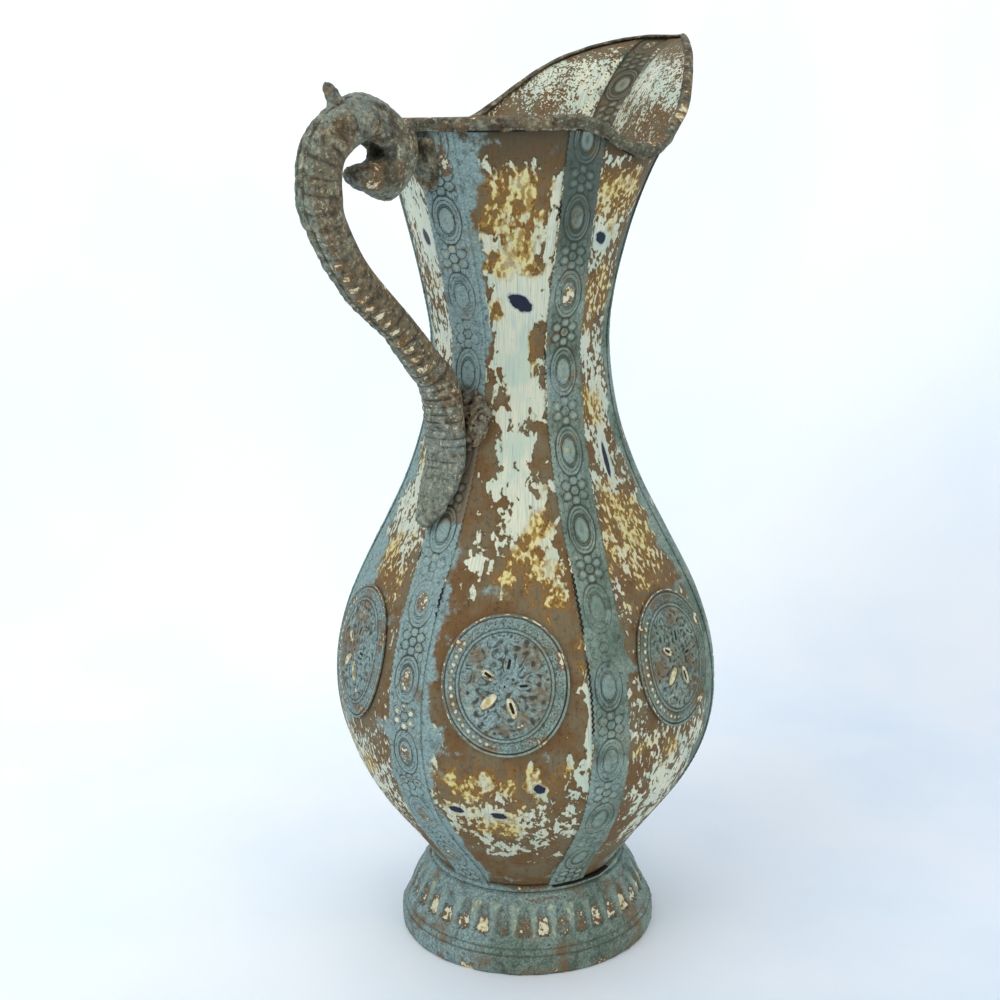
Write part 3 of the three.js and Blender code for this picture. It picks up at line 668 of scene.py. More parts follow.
# Where bare metal, brown and gold lacquer lie on a gore, as soft ovals:
# share across, height, half width in shares, half height, strength.
CENTRE = {
    "worn": [
        (0.5, 368, 0.34, 14, 0.55), (0.52, 346, 0.36, 12, 0.6), (0.5, 332, 0.34, 7, 0.3),
        (0.56, 318, 0.44, 14, 0.85), (0.54, 289, 0.46, 27, 0.95), (0.52, 250, 0.3, 12, 0.6),
        (0.55, 228, 0.34, 15, 0.5), (0.68, 204, 0.32, 14, 0.42), (0.17, 206, 0.07, 4, 0.7),
        (0.84, 236, 0.05, 4, 0.6), (0.84, 205, 0.06, 5, 0.6), (0.85, 183, 0.1, 12, 0.3),
        (0.5, 110, 0.46, 10, 0.38), (0.5, 84, 0.5, 17, 0.47), (0.97, 350, 0.06, 28, 0.9),
        (0.98, 144, 0.035, 24, 1), (0.02, 130, 0.06, 30, 0.4),
    ],
    "brown": [
        (0.5, 392, 0.7, 11, 0.5), (0.2, 317, 0.12, 5, 0.7), (0.82, 302, 0.12, 14, 0.95),
        (0.88, 248, 0.14, 9, 0.5), (0, 261, 0.16, 18, 0.85), (0.5, 165, 0.7, 14, 0.15),
        (0.5, 49, 0.7, 8, 0.5),
    ],
    "gilt": [
        (0.45, 362, 0.55, 20, 0.95), (0.5, 336, 0.5, 8, 0.6), (0.2, 317, 0.14, 6, 0.9),
        (0.8, 300, 0.16, 14, 0.6), (0.8, 222, 0.2, 14, 0.5), (0.7, 196, 0.4, 16, 0.9),
        (0.5, 112, 0.6, 12, 0.75), (0.3, 84, 0.5, 14, 0.6), (0.1, 176, 0.2, 16, 0.5),
        (0.9, 170, 0.12, 16, 0.7),
    ],
    "green": [
        (0.12, 384, 0.22, 20, 0.5), (0, 70, 0.12, 30, 0.4), (0.04, 325, 0.13, 45, 0.5),
        (0.06, 196, 0.14, 24, 0.3), (0.5, 44, 0.7, 5, 0.5), (0.04, 140, 0.12, 26, 0.34),
        (0.9, 388, 0.14, 10, 0.3), (0.5, 123, 0.4, 4, 0.32), (0.4, 389, 0.25, 6, 0.14),
        (0.4, 192, 0.3, 5, 0.2), (0, 246, 0.1, 26, -0.4), (0.98, 350, 0.07, 30, -0.5),
        (0.98, 144, 0.06, 24, -0.5),
    ],
    "crumbly": [(0.5, 92, 0.8, 24, 0.5), (0.4, 362, 0.5, 16, 0.4), (0.7, 200, 0.4, 16, 0.5)],
}
LEFT = {
    "worn": [
        (0.7, 354, 0.5, 24, 0.75), (0.6, 302, 0.45, 10, 0.65), (0.55, 268, 0.5, 18, 0.45),
        (0.5, 222, 0.55, 40, 0.5), (0.5, 96, 0.45, 26, 0.42), (0.8, 172, 0.2, 10, 0.3),
    ],
    "brown": [(0.5, 394, 0.7, 10, 0.4), (0.95, 190, 0.14, 30, 0.3), (0.5, 47, 0.7, 9, 0.5)],
    "gilt": [
        (0.5, 192, 0.5, 20, 0.8), (0.7, 322, 0.5, 12, 0.6), (0.3, 250, 0.3, 14, 0.4),
        (0.5, 100, 0.5, 14, 0.5),
    ],
    "green": [
        (0.4, 130, 0.6, 30, 0.36), (0.5, 44, 0.7, 6, 0.5), (0.06, 245, 0.26, 90, 0.55),
        (0.3, 176, 0.5, 16, 0.7), (1, 300, 0.1, 60, 0.2),
    ],
    "crumbly": [(0.5, 200, 2, 400, 0.9)],
}
RIGHT = {
    "worn": [
        (0.3, 366, 0.42, 16, 0.5), (0.2, 347, 0.28, 7, 0.5), (0.35, 326, 0.4, 14, 0.42),
        (0.1, 300, 0.3, 10, 0.6), (0.4, 272, 0.45, 26, 0.5), (0.4, 214, 0.5, 34, 0.45),
        (0.5, 104, 0.45, 42, 0.45), (0.1, 150, 0.14, 24, 0.4),
    ],
    "brown": [(0.5, 394, 0.7, 11, 0.45), (0.5, 47, 0.7, 9, 0.5)],
    "gilt": [
        (0.3, 366, 0.6, 14, 0.9), (0.3, 322, 0.6, 18, 0.8), (0.3, 270, 0.5, 14, 0.8),
        (0.4, 212, 0.6, 28, 0.8), (0.6, 180, 0.4, 14, 0.5), (0.3, 118, 0.5, 14, 0.5),
    ],
    "green": [
        (0.95, 310, 0.2, 100, 0.55), (0.95, 130, 0.22, 90, 0.5), (0.5, 44, 0.7, 6, 0.5),
        (0.1, 372, 0.1, 8, 0.2), (0.5, 184, 0.5, 8, 0.25), (0.1, 160, 0.14, 24, 0.2),
    ],
    "crumbly": [(0.5, 330, 2, 70, 0.8), (0.5, 160, 2, 80, 1)],
}
# The far gores repeat the seen ones.
GORE_LAYOUTS = [RIGHT, CENTRE, LEFT, CENTRE, RIGHT, LEFT]


def soft_ovals(ovals, share, height):
    total = np.zeros(len(share))
    for middle, level, half, tall, strength in ovals:
        total += strength * hill(share, middle, half) * hill(height, level, tall)
    return total


# Burnt spots of each gore: share across, height, half width, half height.
SPOTS = [
    [(0.5, 300, 0.12, 4)],
    [(0.4, 260, 0.1, 4), (0.55, 90, 0.07, 3)],
    [(0.74, 348, 0.13, 4.4)],
    [(0.58, 319.5, 0.24, 4.8), (0.15, 93, 0.07, 2.4), (0.44, 91, 0.08, 2.2), (0.7, 107, 0.05, 3.2)],
    [(0.17, 347, 0.13, 3.6), (0.45, 245, 0.07, 10)],
    [(0.6, 280, 0.1, 5), (0.4, 95, 0.07, 3)],
]


def gore(k):
    line, length = measured_gore(k)
    widest = gore_width(k, np.ones(1))[0]

    def form(u, v):
        s = v * length
        width = gore_width(k, line(s))
        x = lerp(-BAND_LAP, width + BAND_LAP, u)
        surface = lambda a, b: gore_skin(k, line, a, np.clip(b, 0, length))
        point = surface(x, s)
        dents = rough_field(point, 46, 11 + k) * 0.25 + rough_field(point, 17, 31 + k) * 0.08
        free = smooth(np.minimum(u, 1 - u) * 7) * smooth((1 - v) * 14) * smooth(v * 14)
        depth = (0.18 + 0.5 * np.abs(dents) * free) * free
        point = point - skin_normal(surface, x, s) * depth[:, None]
        share = np.clip(x / width, 0, 1)
        height = point[:, 2]
        seen = k in (2, 3, 4)
        wander = 0.03 * np.sin(height / 13 + 2.1 * k) + (0 if seen else 0.12 * math.sin(4 * k))
        worn, brown, gilt, green, crumbly = (
            soft_ovals(GORE_LAYOUTS[k][key], share + (wander if key in ("worn", "brown") else 0), height)
            for key in ("worn", "brown", "gilt", "green", "crumbly")
        )
        worn += (0.26 if k == 2 else 0.18) - brown + 0.12 * rough_field(point * [1, 1, 0.6], 13, 131 + k)
        crumbly = np.clip(crumbly, 0, 1)
        if k in (0, 5):
            inner = onset(height, 384, 12) * onset(height, 436, -18)
            worn += inner * (0.6 - 0.46 * share if k == 0 else 0.36 + 0.2 * share)
            worn -= 0.3 * onset(height, 428, 10)
            crumbly = np.maximum(crumbly, (0.75 if k == 0 else 0.5) * inner)
        green += 0.1 + ridges(share, (0.3, 0, 0.05), (0.26, 1, 0.05))
        # Painted shadow: a ring round the disc is kept less worn, so darker.
        beside, above = (share - 0.5) * width, height - BODY_BOTTOM - DISC_RISE
        around = np.hypot(beside / (DISC_HALF_WIDTH + 5.5), above / (DISC_HALF_HEIGHT + 4))
        worn -= 0.3 * hill(around, 0.9, 0.25)
        spot = np.zeros(len(u))
        for middle, level, half, tall in SPOTS[k]:
            far = np.hypot((share - middle) / half, (height - level + 12 * (share - middle)) / tall)
            spot = np.maximum(spot, smooth(1.3 - far))
            worn += 0.5 * smooth(2 - far)
        return point, {"worn": worn, "gilt": gilt, "green": green, "spot": spot, "crumbly": crumbly}

    sheet = formed_sheet("gore", form, (widest, length))
    names = f"gore_sheet_{k + 1}", sheet, f"gore_{k + 1}", "gore_metal"
    add_wall(new_piece(*names, GORE_OUTSIDE, GORE_INSIDE), GORE_WALL)


# Stamped strips

def strip_pattern(across, along):
    """Where a point lies in the stamped pattern: past the nearest oval, past the nearest rosette, and
    how far out from the oval's centre, 1 on its rim."""
    turn = (along - OVAL_START) / OVAL_PITCH
    past_oval = (turn - np.round(turn)) * OVAL_PITCH
    past_rosette = (turn - np.floor(turn) - 0.5) * OVAL_PITCH
    return past_oval, past_rosette, np.hypot(across / OVAL_HALF_WIDTH, past_oval / OVAL_HALF_LENGTH)


def strip_relief(across, along):
    """Height of the stamping and how deep its pits are: ovals and rosettes by turns."""
    t, r_t, q = strip_pattern(across, along)
    height = 0.32 * onset(q, 0.56, -0.14) - 0.14 * onset(q, 0.3, -0.2) + ridges(
        q, (0.36, 1, 0.06), (0.3, 0.82, 0.055), (-0.34, 1.12, 0.055), (-0.4, 0.91, 0.035),
        (-0.28, 0.72, 0.05), (-0.3, 0.6, 0.04),
    )
    r = np.hypot(across, r_t)
    angle = np.arctan2(r_t, across)
    fold = np.mod(angle, SECTOR) - SECTOR / 2
    petal = np.hypot((r * np.cos(fold) - 4.5) / 2.3, r * np.sin(fold) / 2)
    height += (r < ROSETTE_RADIUS) * (0.42 * onset(petal, 0.8, -0.35) - 0.3 * hill(petal, 1.1, 0.14))
    height += ridges(r, (0.3, 1.5, 0.4), (-0.3, 2.3, 0.25))
    pit = 0.8 * hill(petal, 0, 0.25) * (r < 7) + 0.9 * hill(r, 0, 0.4)
    side = np.abs(across)
    height += ridges(side, (0.1, 7.4, 0.3), (-0.16, 6.9, 0.2))
    bead = np.mod(along, SCALLOP) / SCALLOP - 0.5
    height += 0.22 * hill(np.hypot(side - 8.5, bead * SCALLOP), 0, 0.75)
    leaf = np.hypot((side - 5.6) / 1.2, (np.abs(t) - 11.2) / 2.2)
    height += ridges(leaf, (0.2, 0.55, 0.3), (-0.22, 1, 0.18))
    return height, pit


# Where the edges of each strip stand off the gore, with the shadow in the gap painted black: side,
# height, half height, strength.
EDGE_GAPS = [
    [(1, 180, 30, 0.5)],
    [(-1, 240, 30, 0.5)],
    [(-1, 170, 24, 0.5)],
    [(1, 191, 9, 0.9), (-1, 205, 5, 0.7)],
    [(-1, 188, 20, 1), (-1, 146, 22, 1), (-1, 352, 26, 0.55), (-1, 290, 26, 0.5), (1, 345, 22, 0.45)],
    [(1, 150, 30, 0.5)],
]


def band(k):
    line, length = measured(lambda level: band_point(k, np.zeros_like(level), level))

    def form(u, v):
        s = v * length
        a = (u - 0.5) * BAND_WIDTH
        side = np.sign(a)
        notch = 0.5 + 0.5 * np.cos(FULL_TURN * s / SCALLOP)
        reach = np.abs(a)
        trimmed = np.where(reach > 8.4, 8.4 + (reach - 8.4) * (1 - 0.62 * notch), reach) * side
        surface = lambda x, y: band_point(k, x, line(np.clip(y, 0, length)))
        point = surface(trimmed, s)
        some = rough_field(point, 60, 91 + k)
        height, pit = strip_relief(a, s + 1.3 * np.sin(s / 41 + k))
        height *= 0.85 + 0.25 * rough_field(point, 38, 95 + k)
        fade = smooth(v * 40)
        open_edge = np.zeros(len(u))
        for way, level, tall, strength in EDGE_GAPS[k]:
            open_edge = np.maximum(open_edge, strength * hill(point[:, 2], level, tall) * (side == way))
        pressed = onset(reach, 7.4, 2) * (1 - open_edge) * fade
        lift = 0.82 + 0.8 * height * fade + 0.06 * rough_field(point, 30, 51 + k) - 0.2 * pressed
        point = point + skin_normal(surface, trimmed, s) * lift[:, None]
        _, r_t, q = strip_pattern(a, s)
        rise = point[:, 2]
        rubbed = np.clip(some * 1.2 + 0.1, 0, 1)
        if k == 4:
            rubbed = ridges(rise, (1.15, 327, 13), (0.55, 360, 11), (0.3, 290, 10))
        if k == 3:
            rubbed = 0.75 * onset(rise, 215, -20)
        shine = 0.62 * onset(q, 0.6, -0.2) * rubbed
        low = onset(rise, 190, -60) * onset(rise, 95, 30)
        shine += (0.85 if k == 3 else 0.25) * low * smooth(height * 3) * smooth((9 - np.abs(r_t)) / 4)
        rust = np.zeros(len(u))
        chips = smooth((rough_field(point, 9, 99 + k) - 0.1) / 0.3)
        # Painted shadow: black in the gap where a strip's edge stands off the gore.
        wavy = smooth((reach - 8.3 + 0.7 * notch - 0.2) / 0.4)
        gap = wavy * smooth(1.6 * open_edge - 0.5 * (1 - chips) - 0.1)
        shine += 0.7 * onset(reach, 8.5, 0.5) * (1 - chips) * smooth(2 * open_edge) * (1 - gap)
        if k == 3:
            shine += 0.48 * hill(a, 3.4, 3.4) * hill(rise, 381, 10)
            beside_handle = onset(rise, 282, -8) * onset(rise, 216, 13)
            rust = 0.36 * smooth((a + 5) / 3) * beside_handle
            # Painted shadow of the saddle plate: a black line near the top of the fourth strip.
            gap = np.maximum(gap, 1.1 * hill(a + 0.12 * (rise - 384), -0.6, 1.1) * hill(rise, 384, 10))
        pit = 0.42 * pit * smooth(some + 0.6) + 0.95 * gap
        return point, {"relief": height, "shine": shine, "pit": pit, "rust": rust}

    sheet = formed_sheet("strip", form, (BAND_WIDTH, length))
    names = f"stamped_strip_{k + 1}", sheet, f"band_{k + 1}", "band_metal"
    add_wall(new_piece(*names, BAND_FINISH, BAND_INSIDE), STRIP_WALL)


# Stamped discs

# Petals: direction in degrees, reach, half length, half width, how bright it is rubbed, whether holed.
PETALS = [
    (80, 10, 4.3, 1.8, 0.1, True), (3, 8.3, 3.5, 1.5, 0.1, True), (-71, 10, 4.9, 1.9, 0.95, True),
    (-136, 9.8, 4.8, 1.9, 1, False), (146.5, 8.9, 3.6, 1.8, 0.75, True),
]
# Patches rubbed bright: place across and up, half width, half height.
RUBBED_PATCHES = [
    (17, -24.5, 7, 3), (24.5, 11.5, 3, 6), (-21, 18.5, 3, 2.5), (7, -17.5, 2.5, 1.2),
    (-13.5, 14, 2.4, 1),
]


def disc_relief(x, y, k):
    """Height of a disc's stamping in millimetres, its pits, and where it is rubbed bright."""
    r = np.hypot(x, y)
    rho = np.hypot(x / DISC_HALF_WIDTH, y / DISC_HALF_HEIGHT)
    turn = np.arctan2(y / DISC_HALF_HEIGHT, x / DISC_HALF_WIDTH)
    inset = (1 - rho) * r / np.maximum(rho, 0.05)
    height = ridges(
        inset, (0.7, 0.45, 0.35), (-0.35, 1.3, 0.4), (0.35, 2.3, 0.3), (0.45, 7.3, 0.35),
        (-0.3, 6.5, 0.35), (-0.3, 8.1, 0.4),
    )
    ahead = (np.mod(turn / (FULL_TURN) * DISC_BEADS, 1) - 0.5) * FULL_TURN / DISC_BEADS * BEAD_RING
    bead = np.hypot(inset - BEAD_INSET, ahead)
    left = smooth((-np.cos(turn - 0.3) - 0.1) / 0.5)
    height += lerp(0.2, 0.5, left) * onset(bead, 1.15, -0.6) - 0.2 * hill(bead, 1.45, 0.25)
    # Painted light from the upper left: a highlight along the outer ridge, and a black shadow line in
    # the groove on the right and bottom.
    black = smooth((np.cos(turn + 0.75) + 0.1) / 0.5)
    pit = 0.9 * hill(bead, 0, 0.5) * (1 - left) + 0.8 * black * hill(inset, 1.3, 0.35)
    bright = 0.85 * onset(bead, 1.05, -0.4) * left + 0.64 * (1 - black) * hill(inset, 0.4, 0.4)
    brown, petals = np.zeros(len(x)), np.zeros(len(x))
    for degrees, reach, long, slim, rubbed, holed in PETALS:
        way = math.radians(degrees)
        along_p = x * math.cos(way) + y * math.sin(way) - reach
        across_p = -x * math.sin(way) + y * math.cos(way)
        wide = slim * np.sqrt(np.clip(1 - (along_p / long) ** 2, 0, 1))
        w = np.abs(across_p) / np.maximum(wide, 0.2)
        inside = smooth((long - np.abs(along_p)) / 0.6)
        petals = np.maximum(petals, inside * onset(w, 1.5, -0.3))
        height += inside * ridges(w, (0.5, 0.85, 0.25), (-0.3, 1.45, 0.2))
        if holed:
            pit = pit + 0.9 * inside * onset(w, 0.5, -0.2) * smooth((0.6 * long - np.abs(along_p)) / 0.6)
        bright = np.maximum(bright, 0.9 * rubbed * inside * onset(w, 1.2, -0.4))
        far = np.hypot(along_p / (1.5 * long), across_p / (2.6 * slim))
        brown = np.maximum(brown, rubbed * hill(far, 0, 0.8))
    height += ridges(r, (0.35, 1.2, 0.4), (-0.3, 0, 0.5))
    pit = pit + hill(r, 0, 0.55)
    flat = xyz(x, y, 0)
    scrolls = rough_field(flat, 7.6, 210 + k)
    knots = rough_field(flat, 3, 230 + k)
    field = onset(inset, 8.4, 0.8) * (1 - petals) * onset(r, 2.2, 1.5)
    drawn = 0.3 * hill(scrolls, 0, 0.24) - 0.2 * hill(np.abs(scrolls), 0.55, 0.16)
    height += field * (drawn + 0.16 * knots)
    pit = pit + 0.6 * field * onset(knots, 1.5, 0.25)
    for px, py, wide, tall in RUBBED_PATCHES:
        bright = np.maximum(bright, 0.62 * hill(np.hypot((x - px) / wide, (y - py) / tall), 0, 1))
    return height, pit, np.maximum(bright, 0.36 * brown)


def disc(k):
    line, length = measured_gore(k)
    stations = np.linspace(0, length, 1500)
    heights = gore_point(k, np.full(1500, 0.5), line(stations))[:, 2]
    centre = np.interp(BODY_BOTTOM + DISC_RISE, heights, stations)
    skin = lambda a, b: gore_skin(k, line, a + gore_width(k, line(centre + b)) / 2, centre + b)
    read = sampled(skin, 30, 34, 1)

    def form(u, v):
        turn = u * FULL_TURN
        share = np.interp(v, [0, 0.9, 0.94, 1], [0, 1, 1, 0])
        x = DISC_HALF_WIDTH * share * np.sin(turn)
        y = DISC_HALF_HEIGHT * share * np.cos(turn)
        point, normal = read(x, y)
        height, pit, bright = disc_relief(x, y, k)
        bent_part = smooth((np.sin(turn + 0.5) * 0.6 - np.cos(turn) - 0.6) / 0.5)
        lifted = 0.9 * onset(share, 0.75, 0.25) * bent_part
        lift = np.where(v > 0.92, 0.48 + lifted * (v < 0.97), 1.15 + 0.9 * height + lifted)
        return point + normal * lift[:, None], {"relief": height, "shine": bright, "pit": pit}

    sheet = formed_sheet("disc", form, (180, 30), wraps=True)
    new_piece(f"stamped_disc_{k + 1}", sheet, f"medallion_{k + 1}", "medallion_metal", DISC_FINISH)


# Folded rim

def rim():
    """A folded strip over the edge of the mouth, hammered a little uneven."""
    section = [
        (2.9, -4.6), (2.55, -3.4), (2.5, -2), (2.5, -0.4), (2.3, 0.55), (1.6, 1.15), (0.6, 1.2),
        (-0.6, 1.2), (-1.6, 1.05), (-2.1, 0.4), (-2.2, -0.8), (-2.2, -3), (-1.4, -3), (-1.35, -0.8),
        (-1.2, 0.3), (0, 0.35), (1.4, 0.3), (1.65, -0.6), (1.7, -2.2), (2.05, -4.5),
    ]
    section = np.array(section + section[:1])
    marks = np.linspace(0, 1, len(section))

    def form(u, v):
        angle = u * FULL_TURN
        top = np.full_like(angle, 3)
        here = round_point(angle, top)
        ahead = round_point(angle + 0.002, top) - round_point(angle - 0.002, top)
        up = unit(here - round_point(angle, top - 0.01))
        out = unit(np.cross(ahead, up))
        n = np.interp(v, marks, section[:, 0])
        t = np.interp(v, marks, section[:, 1])
        wave = rough_field(here, 34, 5)
        ripple = rough_field(here, 13, 6)
        hem = smooth((-t - 1.5) / 2.5) * (n > 0)
        n = n + hem * (0.35 * ripple - 0.1)
        t = t + hem * (0.35 * wave + 0.15 * ripple)
        point = here + out * n[:, None] + up * t[:, None]
        point += out * (0.12 * ripple * (t > -1))[:, None]
        tops = onset(t, 0.2, 0.6)
        chips = rough_field(here, 8, 7)
        shine = tops * (0.27 + 0.05 * wave + 0.22 * chips)
        degrees = np.degrees(np.mod(angle, FULL_TURN))
        green = ridges(degrees, (0.36, 260, 20), (-0.08, 225, 16)) + 0.06 * wave
        # Painted shade along the lower edge of the hem: black at its foot and darker just above.
        pit = 0.9 * smooth((-t - 3.7) / 0.5) * (n > 0) * smooth(0.5 + chips)
        relief = 0.2 * ripple + 0.1 * tops - 0.25 * hill(t, -3.1, 0.35) * (n > 0)
        return point, {"relief": relief, "shine": shine, "pit": pit, "green": green}

    sheet = formed_sheet("rim", form, (430, 22), wraps=True)
    new_piece("folded_rim", sheet, "rim_binding", "rim_metal", RIM_FINISH)


# Cast handle

# Reach, height, half depth, half width, groove, shift aside.
HANDLE_STATIONS = [
    (65.05, 218.7, 1.68, 2.75, 0, 6), (64.97, 221.7, 3.02, 5.72, 0, 5.7),
    (63.02, 228.7, 4.48, 8.36, 0, 3.3), (60.32, 238.7, 5.6, 10.56, 0, 0.9),
    (56.78, 250.7, 6.11, 11, 0, 0), (60.3, 283.7, 7.99, 9.89, 0.3, 0),
    (70.6, 295.5, 7.71, 8.6, 1, 0), (84.5, 310.9, 7.33, 7.74, 1, 0),
    (112.8, 336.8, 8.37, 7.74, 1, 0), (126.3, 357.5, 8.74, 8, 1, 0),
    (130, 368.7, 10.15, 8.6, 1, 0), (126.8, 387.7, 9.78, 9.03, 1, 0),
    (106.2, 399.9, 9.96, 9.46, 1, 0), (89.3, 394, 9.87, 9.46, 0.8, 0),
    (83.9, 386.7, 12.22, 9.46, 0.6, 0), (89.9, 377.3, 10.81, 9.03, 0.2, 0),
    (102.3, 376.6, 6.2, 8, 0, 0), (109.1, 377.4, 4.14, 6.45, 0, 0),
    (111.5, 377.8, 1.32, 2.58, 0, 0),
]
RIB_PITCH, FINE_RIB_PITCH = 6.3, 3.9


def handle():
    stations = np.array(HANDLE_STATIONS)
    count = 4000
    reach, height = stations[:, 0], stations[:, 1]
    line = knotted_curve(xyz(-reach, 0, height), count, False)
    lengths = running_length(line)
    length = lengths[-1]
    place = np.linspace(0, len(stations) - 1, count)
    spot = np.minimum(place.astype(int), len(stations) - 2)
    mix = smooth(place - spot)
    values = lerp(stations[spot, 2:], stations[spot + 1, 2:], mix[:, None])
    tangent = unit(np.gradient(line, axis=0))
    half = np.array([
        (0, 1.04), (0.4, 0.93), (0.72, 0.66), (0.95, 0.22), (1, -0.15), (0.9, -0.6), (0.7, -0.86),
        (0.52, -0.92), (0.36, -0.94), (0, -0.9),
    ])
    marks = np.linspace(0, 1, len(half))

    def form(u, v):
        end = np.clip(np.minimum(v, 1 - v) * 60, 0, 1)
        s = lerp(0, length, np.clip((v - 1 / 60) / (1 - 2 / 60), 0, 1))
        read = lambda column: np.interp(s, lengths, column)
        centre = xyz(*(read(column) for column in line.T))
        centre[:, 1] += read(values[:, 3])
        along = xyz(*(read(column) for column in tangent.T))
        outward = unit(xyz(-along[:, 2], 0, along[:, 0]))
        depth, width, groove = (read(values[:, i]) for i in range(3))
        around = 1 - np.abs(2 * u - 1)
        b = np.interp(around, marks, half[:, 0]) * np.where(u < 0.5, 1, -1)
        n = np.interp(around, marks, half[:, 1])
        n = n + groove * 0.75 * smooth((0.44 - np.abs(b)) / 0.2) * (n < -0.5)
        keel_line = 0.34 * hill(b, 0, 0.09) - 0.4 * hill(np.abs(b), 0.2, 0.07)
        share = s / length
        ribbed = onset(share, 0.75, -0.05) * onset(share, 0.07, 0.05)
        slant = s + 1.4 * np.abs(b) * onset(share, 0.35, 0.2) * 2
        heel = 0.22 * length
        turns = np.where(slant > heel, (slant - heel) / RIB_PITCH, (slant - heel) / FINE_RIB_PITCH)
        rib = np.abs(np.sin(math.pi * turns)) ** 0.4 - 0.72
        strength = 0.85 * ribbed * smooth((n + 0.75) / 0.5) * lerp(1, 0.75, onset(share, 0.3, 0.2))
        scroll = onset(share, 0.76, 0.05)
        strands = 0.2 * scroll * np.sin(b * 8 + 2 * np.sin(share * 30)) * (n > -0.8)
        point = centre + (xyz(0, b * width, 0) + outward * (n * depth)[:, None]) * end[:, None]
        push = point - centre
        push /= np.linalg.norm(push, axis=1, keepdims=True) + 1e-9
        lumps = 0.1 * rough_field(point, 5.5, 21) + 0.1 * rough_field(point, 2.6, 22)
        lumps += 0.2 * rough_field(point, 15, 23)
        worked = np.clip(0.85 + 0.4 * rough_field(point, 16, 24), 0.3, 1.3)
        keel_line *= (n > 0) * onset(share, 0.97, -0.05) * onset(share, 0.3, 0.08)
        relief = strength * rib * worked + strands + keel_line
        inward = np.where(n < -0.3, 0.25, 1)
        point = point + push * ((relief - 0.35 + lumps * inward) * end)[:, None]
        ochre = hill(np.hypot((share - 0.968) / 0.022, (b + 0.7) / 0.5), 0, 1)
        bare = hill(share, 0.44, 0.13)
        limb = onset(share, 0.24, 0.05) * onset(share, 0.6, -0.08)
        dashes = onset(rib, 0.17, 0.06) * hill(b, -0.62, 0.32)
        shine = 0.6 * ochre + limb * (0.33 * hill(b, -0.6, 0.5) + 0.32 * dashes)
        green = 0.26 * onset(share, 0.22, -0.1) - 0.04 - 0.14 * bare + 0.08 * onset(share, 0.7, 0.06)
        green += 0.14 * onset(b, 0.1, 0.2) * (n > -0.2) + 0.26 * onset(n, 0.74, 0.12) - 0.2 * ochre
        # Painted shade, black, on the inner side of the scroll.
        pit = 0.55 * smooth((-n - 0.35) / 0.3) * onset(share, 0.8, 0.05) * onset(share, 0.97, -0.03)
        return point, {"relief": relief + 0.4 * lumps, "shine": shine, "pit": pit, "green": green}

    sheet = formed_sheet("handle", form, (46, length), wraps=True)
    new_piece("cast_handle", sheet, "handle", "handle_metal", HANDLE_FINISH)


def horn():
    """The small horn on the shoulder of the handle."""
    root = np.array([-114.5, 0, 395])
    tip = np.array([-123.4, 0, 414.2])

    def form(u, v):
        turn = u * FULL_TURN
        radius = np.interp(v, [0, 0.35, 0.6, 0.85, 0.95, 1], [6.6, 5.2, 3.3, 2.5, 1.6, 0])
        bend = 1.6 * np.sin(v * math.pi)
        centre = lerp(root, tip, v[:, None]) + xyz(bend, 0, 0.4 * bend)
        out = xyz(0.9 * np.cos(turn), np.sin(turn), 0.42 * np.cos(turn))
        point = centre + out * radius[:, None]
        lumps = rough_field(point, 3, 41)
        point = point + out * (0.18 * lumps * (radius > 0.5))[:, None]
        return point, {"relief": 0.2 * lumps, "shine": 0.35 * onset(v, 0.5, 0.3), "pit": 0 * v}

    sheet = formed_sheet("horn", form, (20, 16), wraps=True)
    new_piece("handle_horn", sheet, "handle", "handle_metal", HANDLE_FINISH)


# Foot and collar

FLUTES = 36
FLUTE_START, FLUTE_HEIGHT = 17, 15.4
# The turns, in radians, of the side the camera sees and of the side where the lobes are rubbed to gold
# most; that side faces the lamps, so the gold there is partly painted highlight.
SEEN_SIDE, RUBBED_AND_LIT_SIDE = 3.94, math.radians(246)


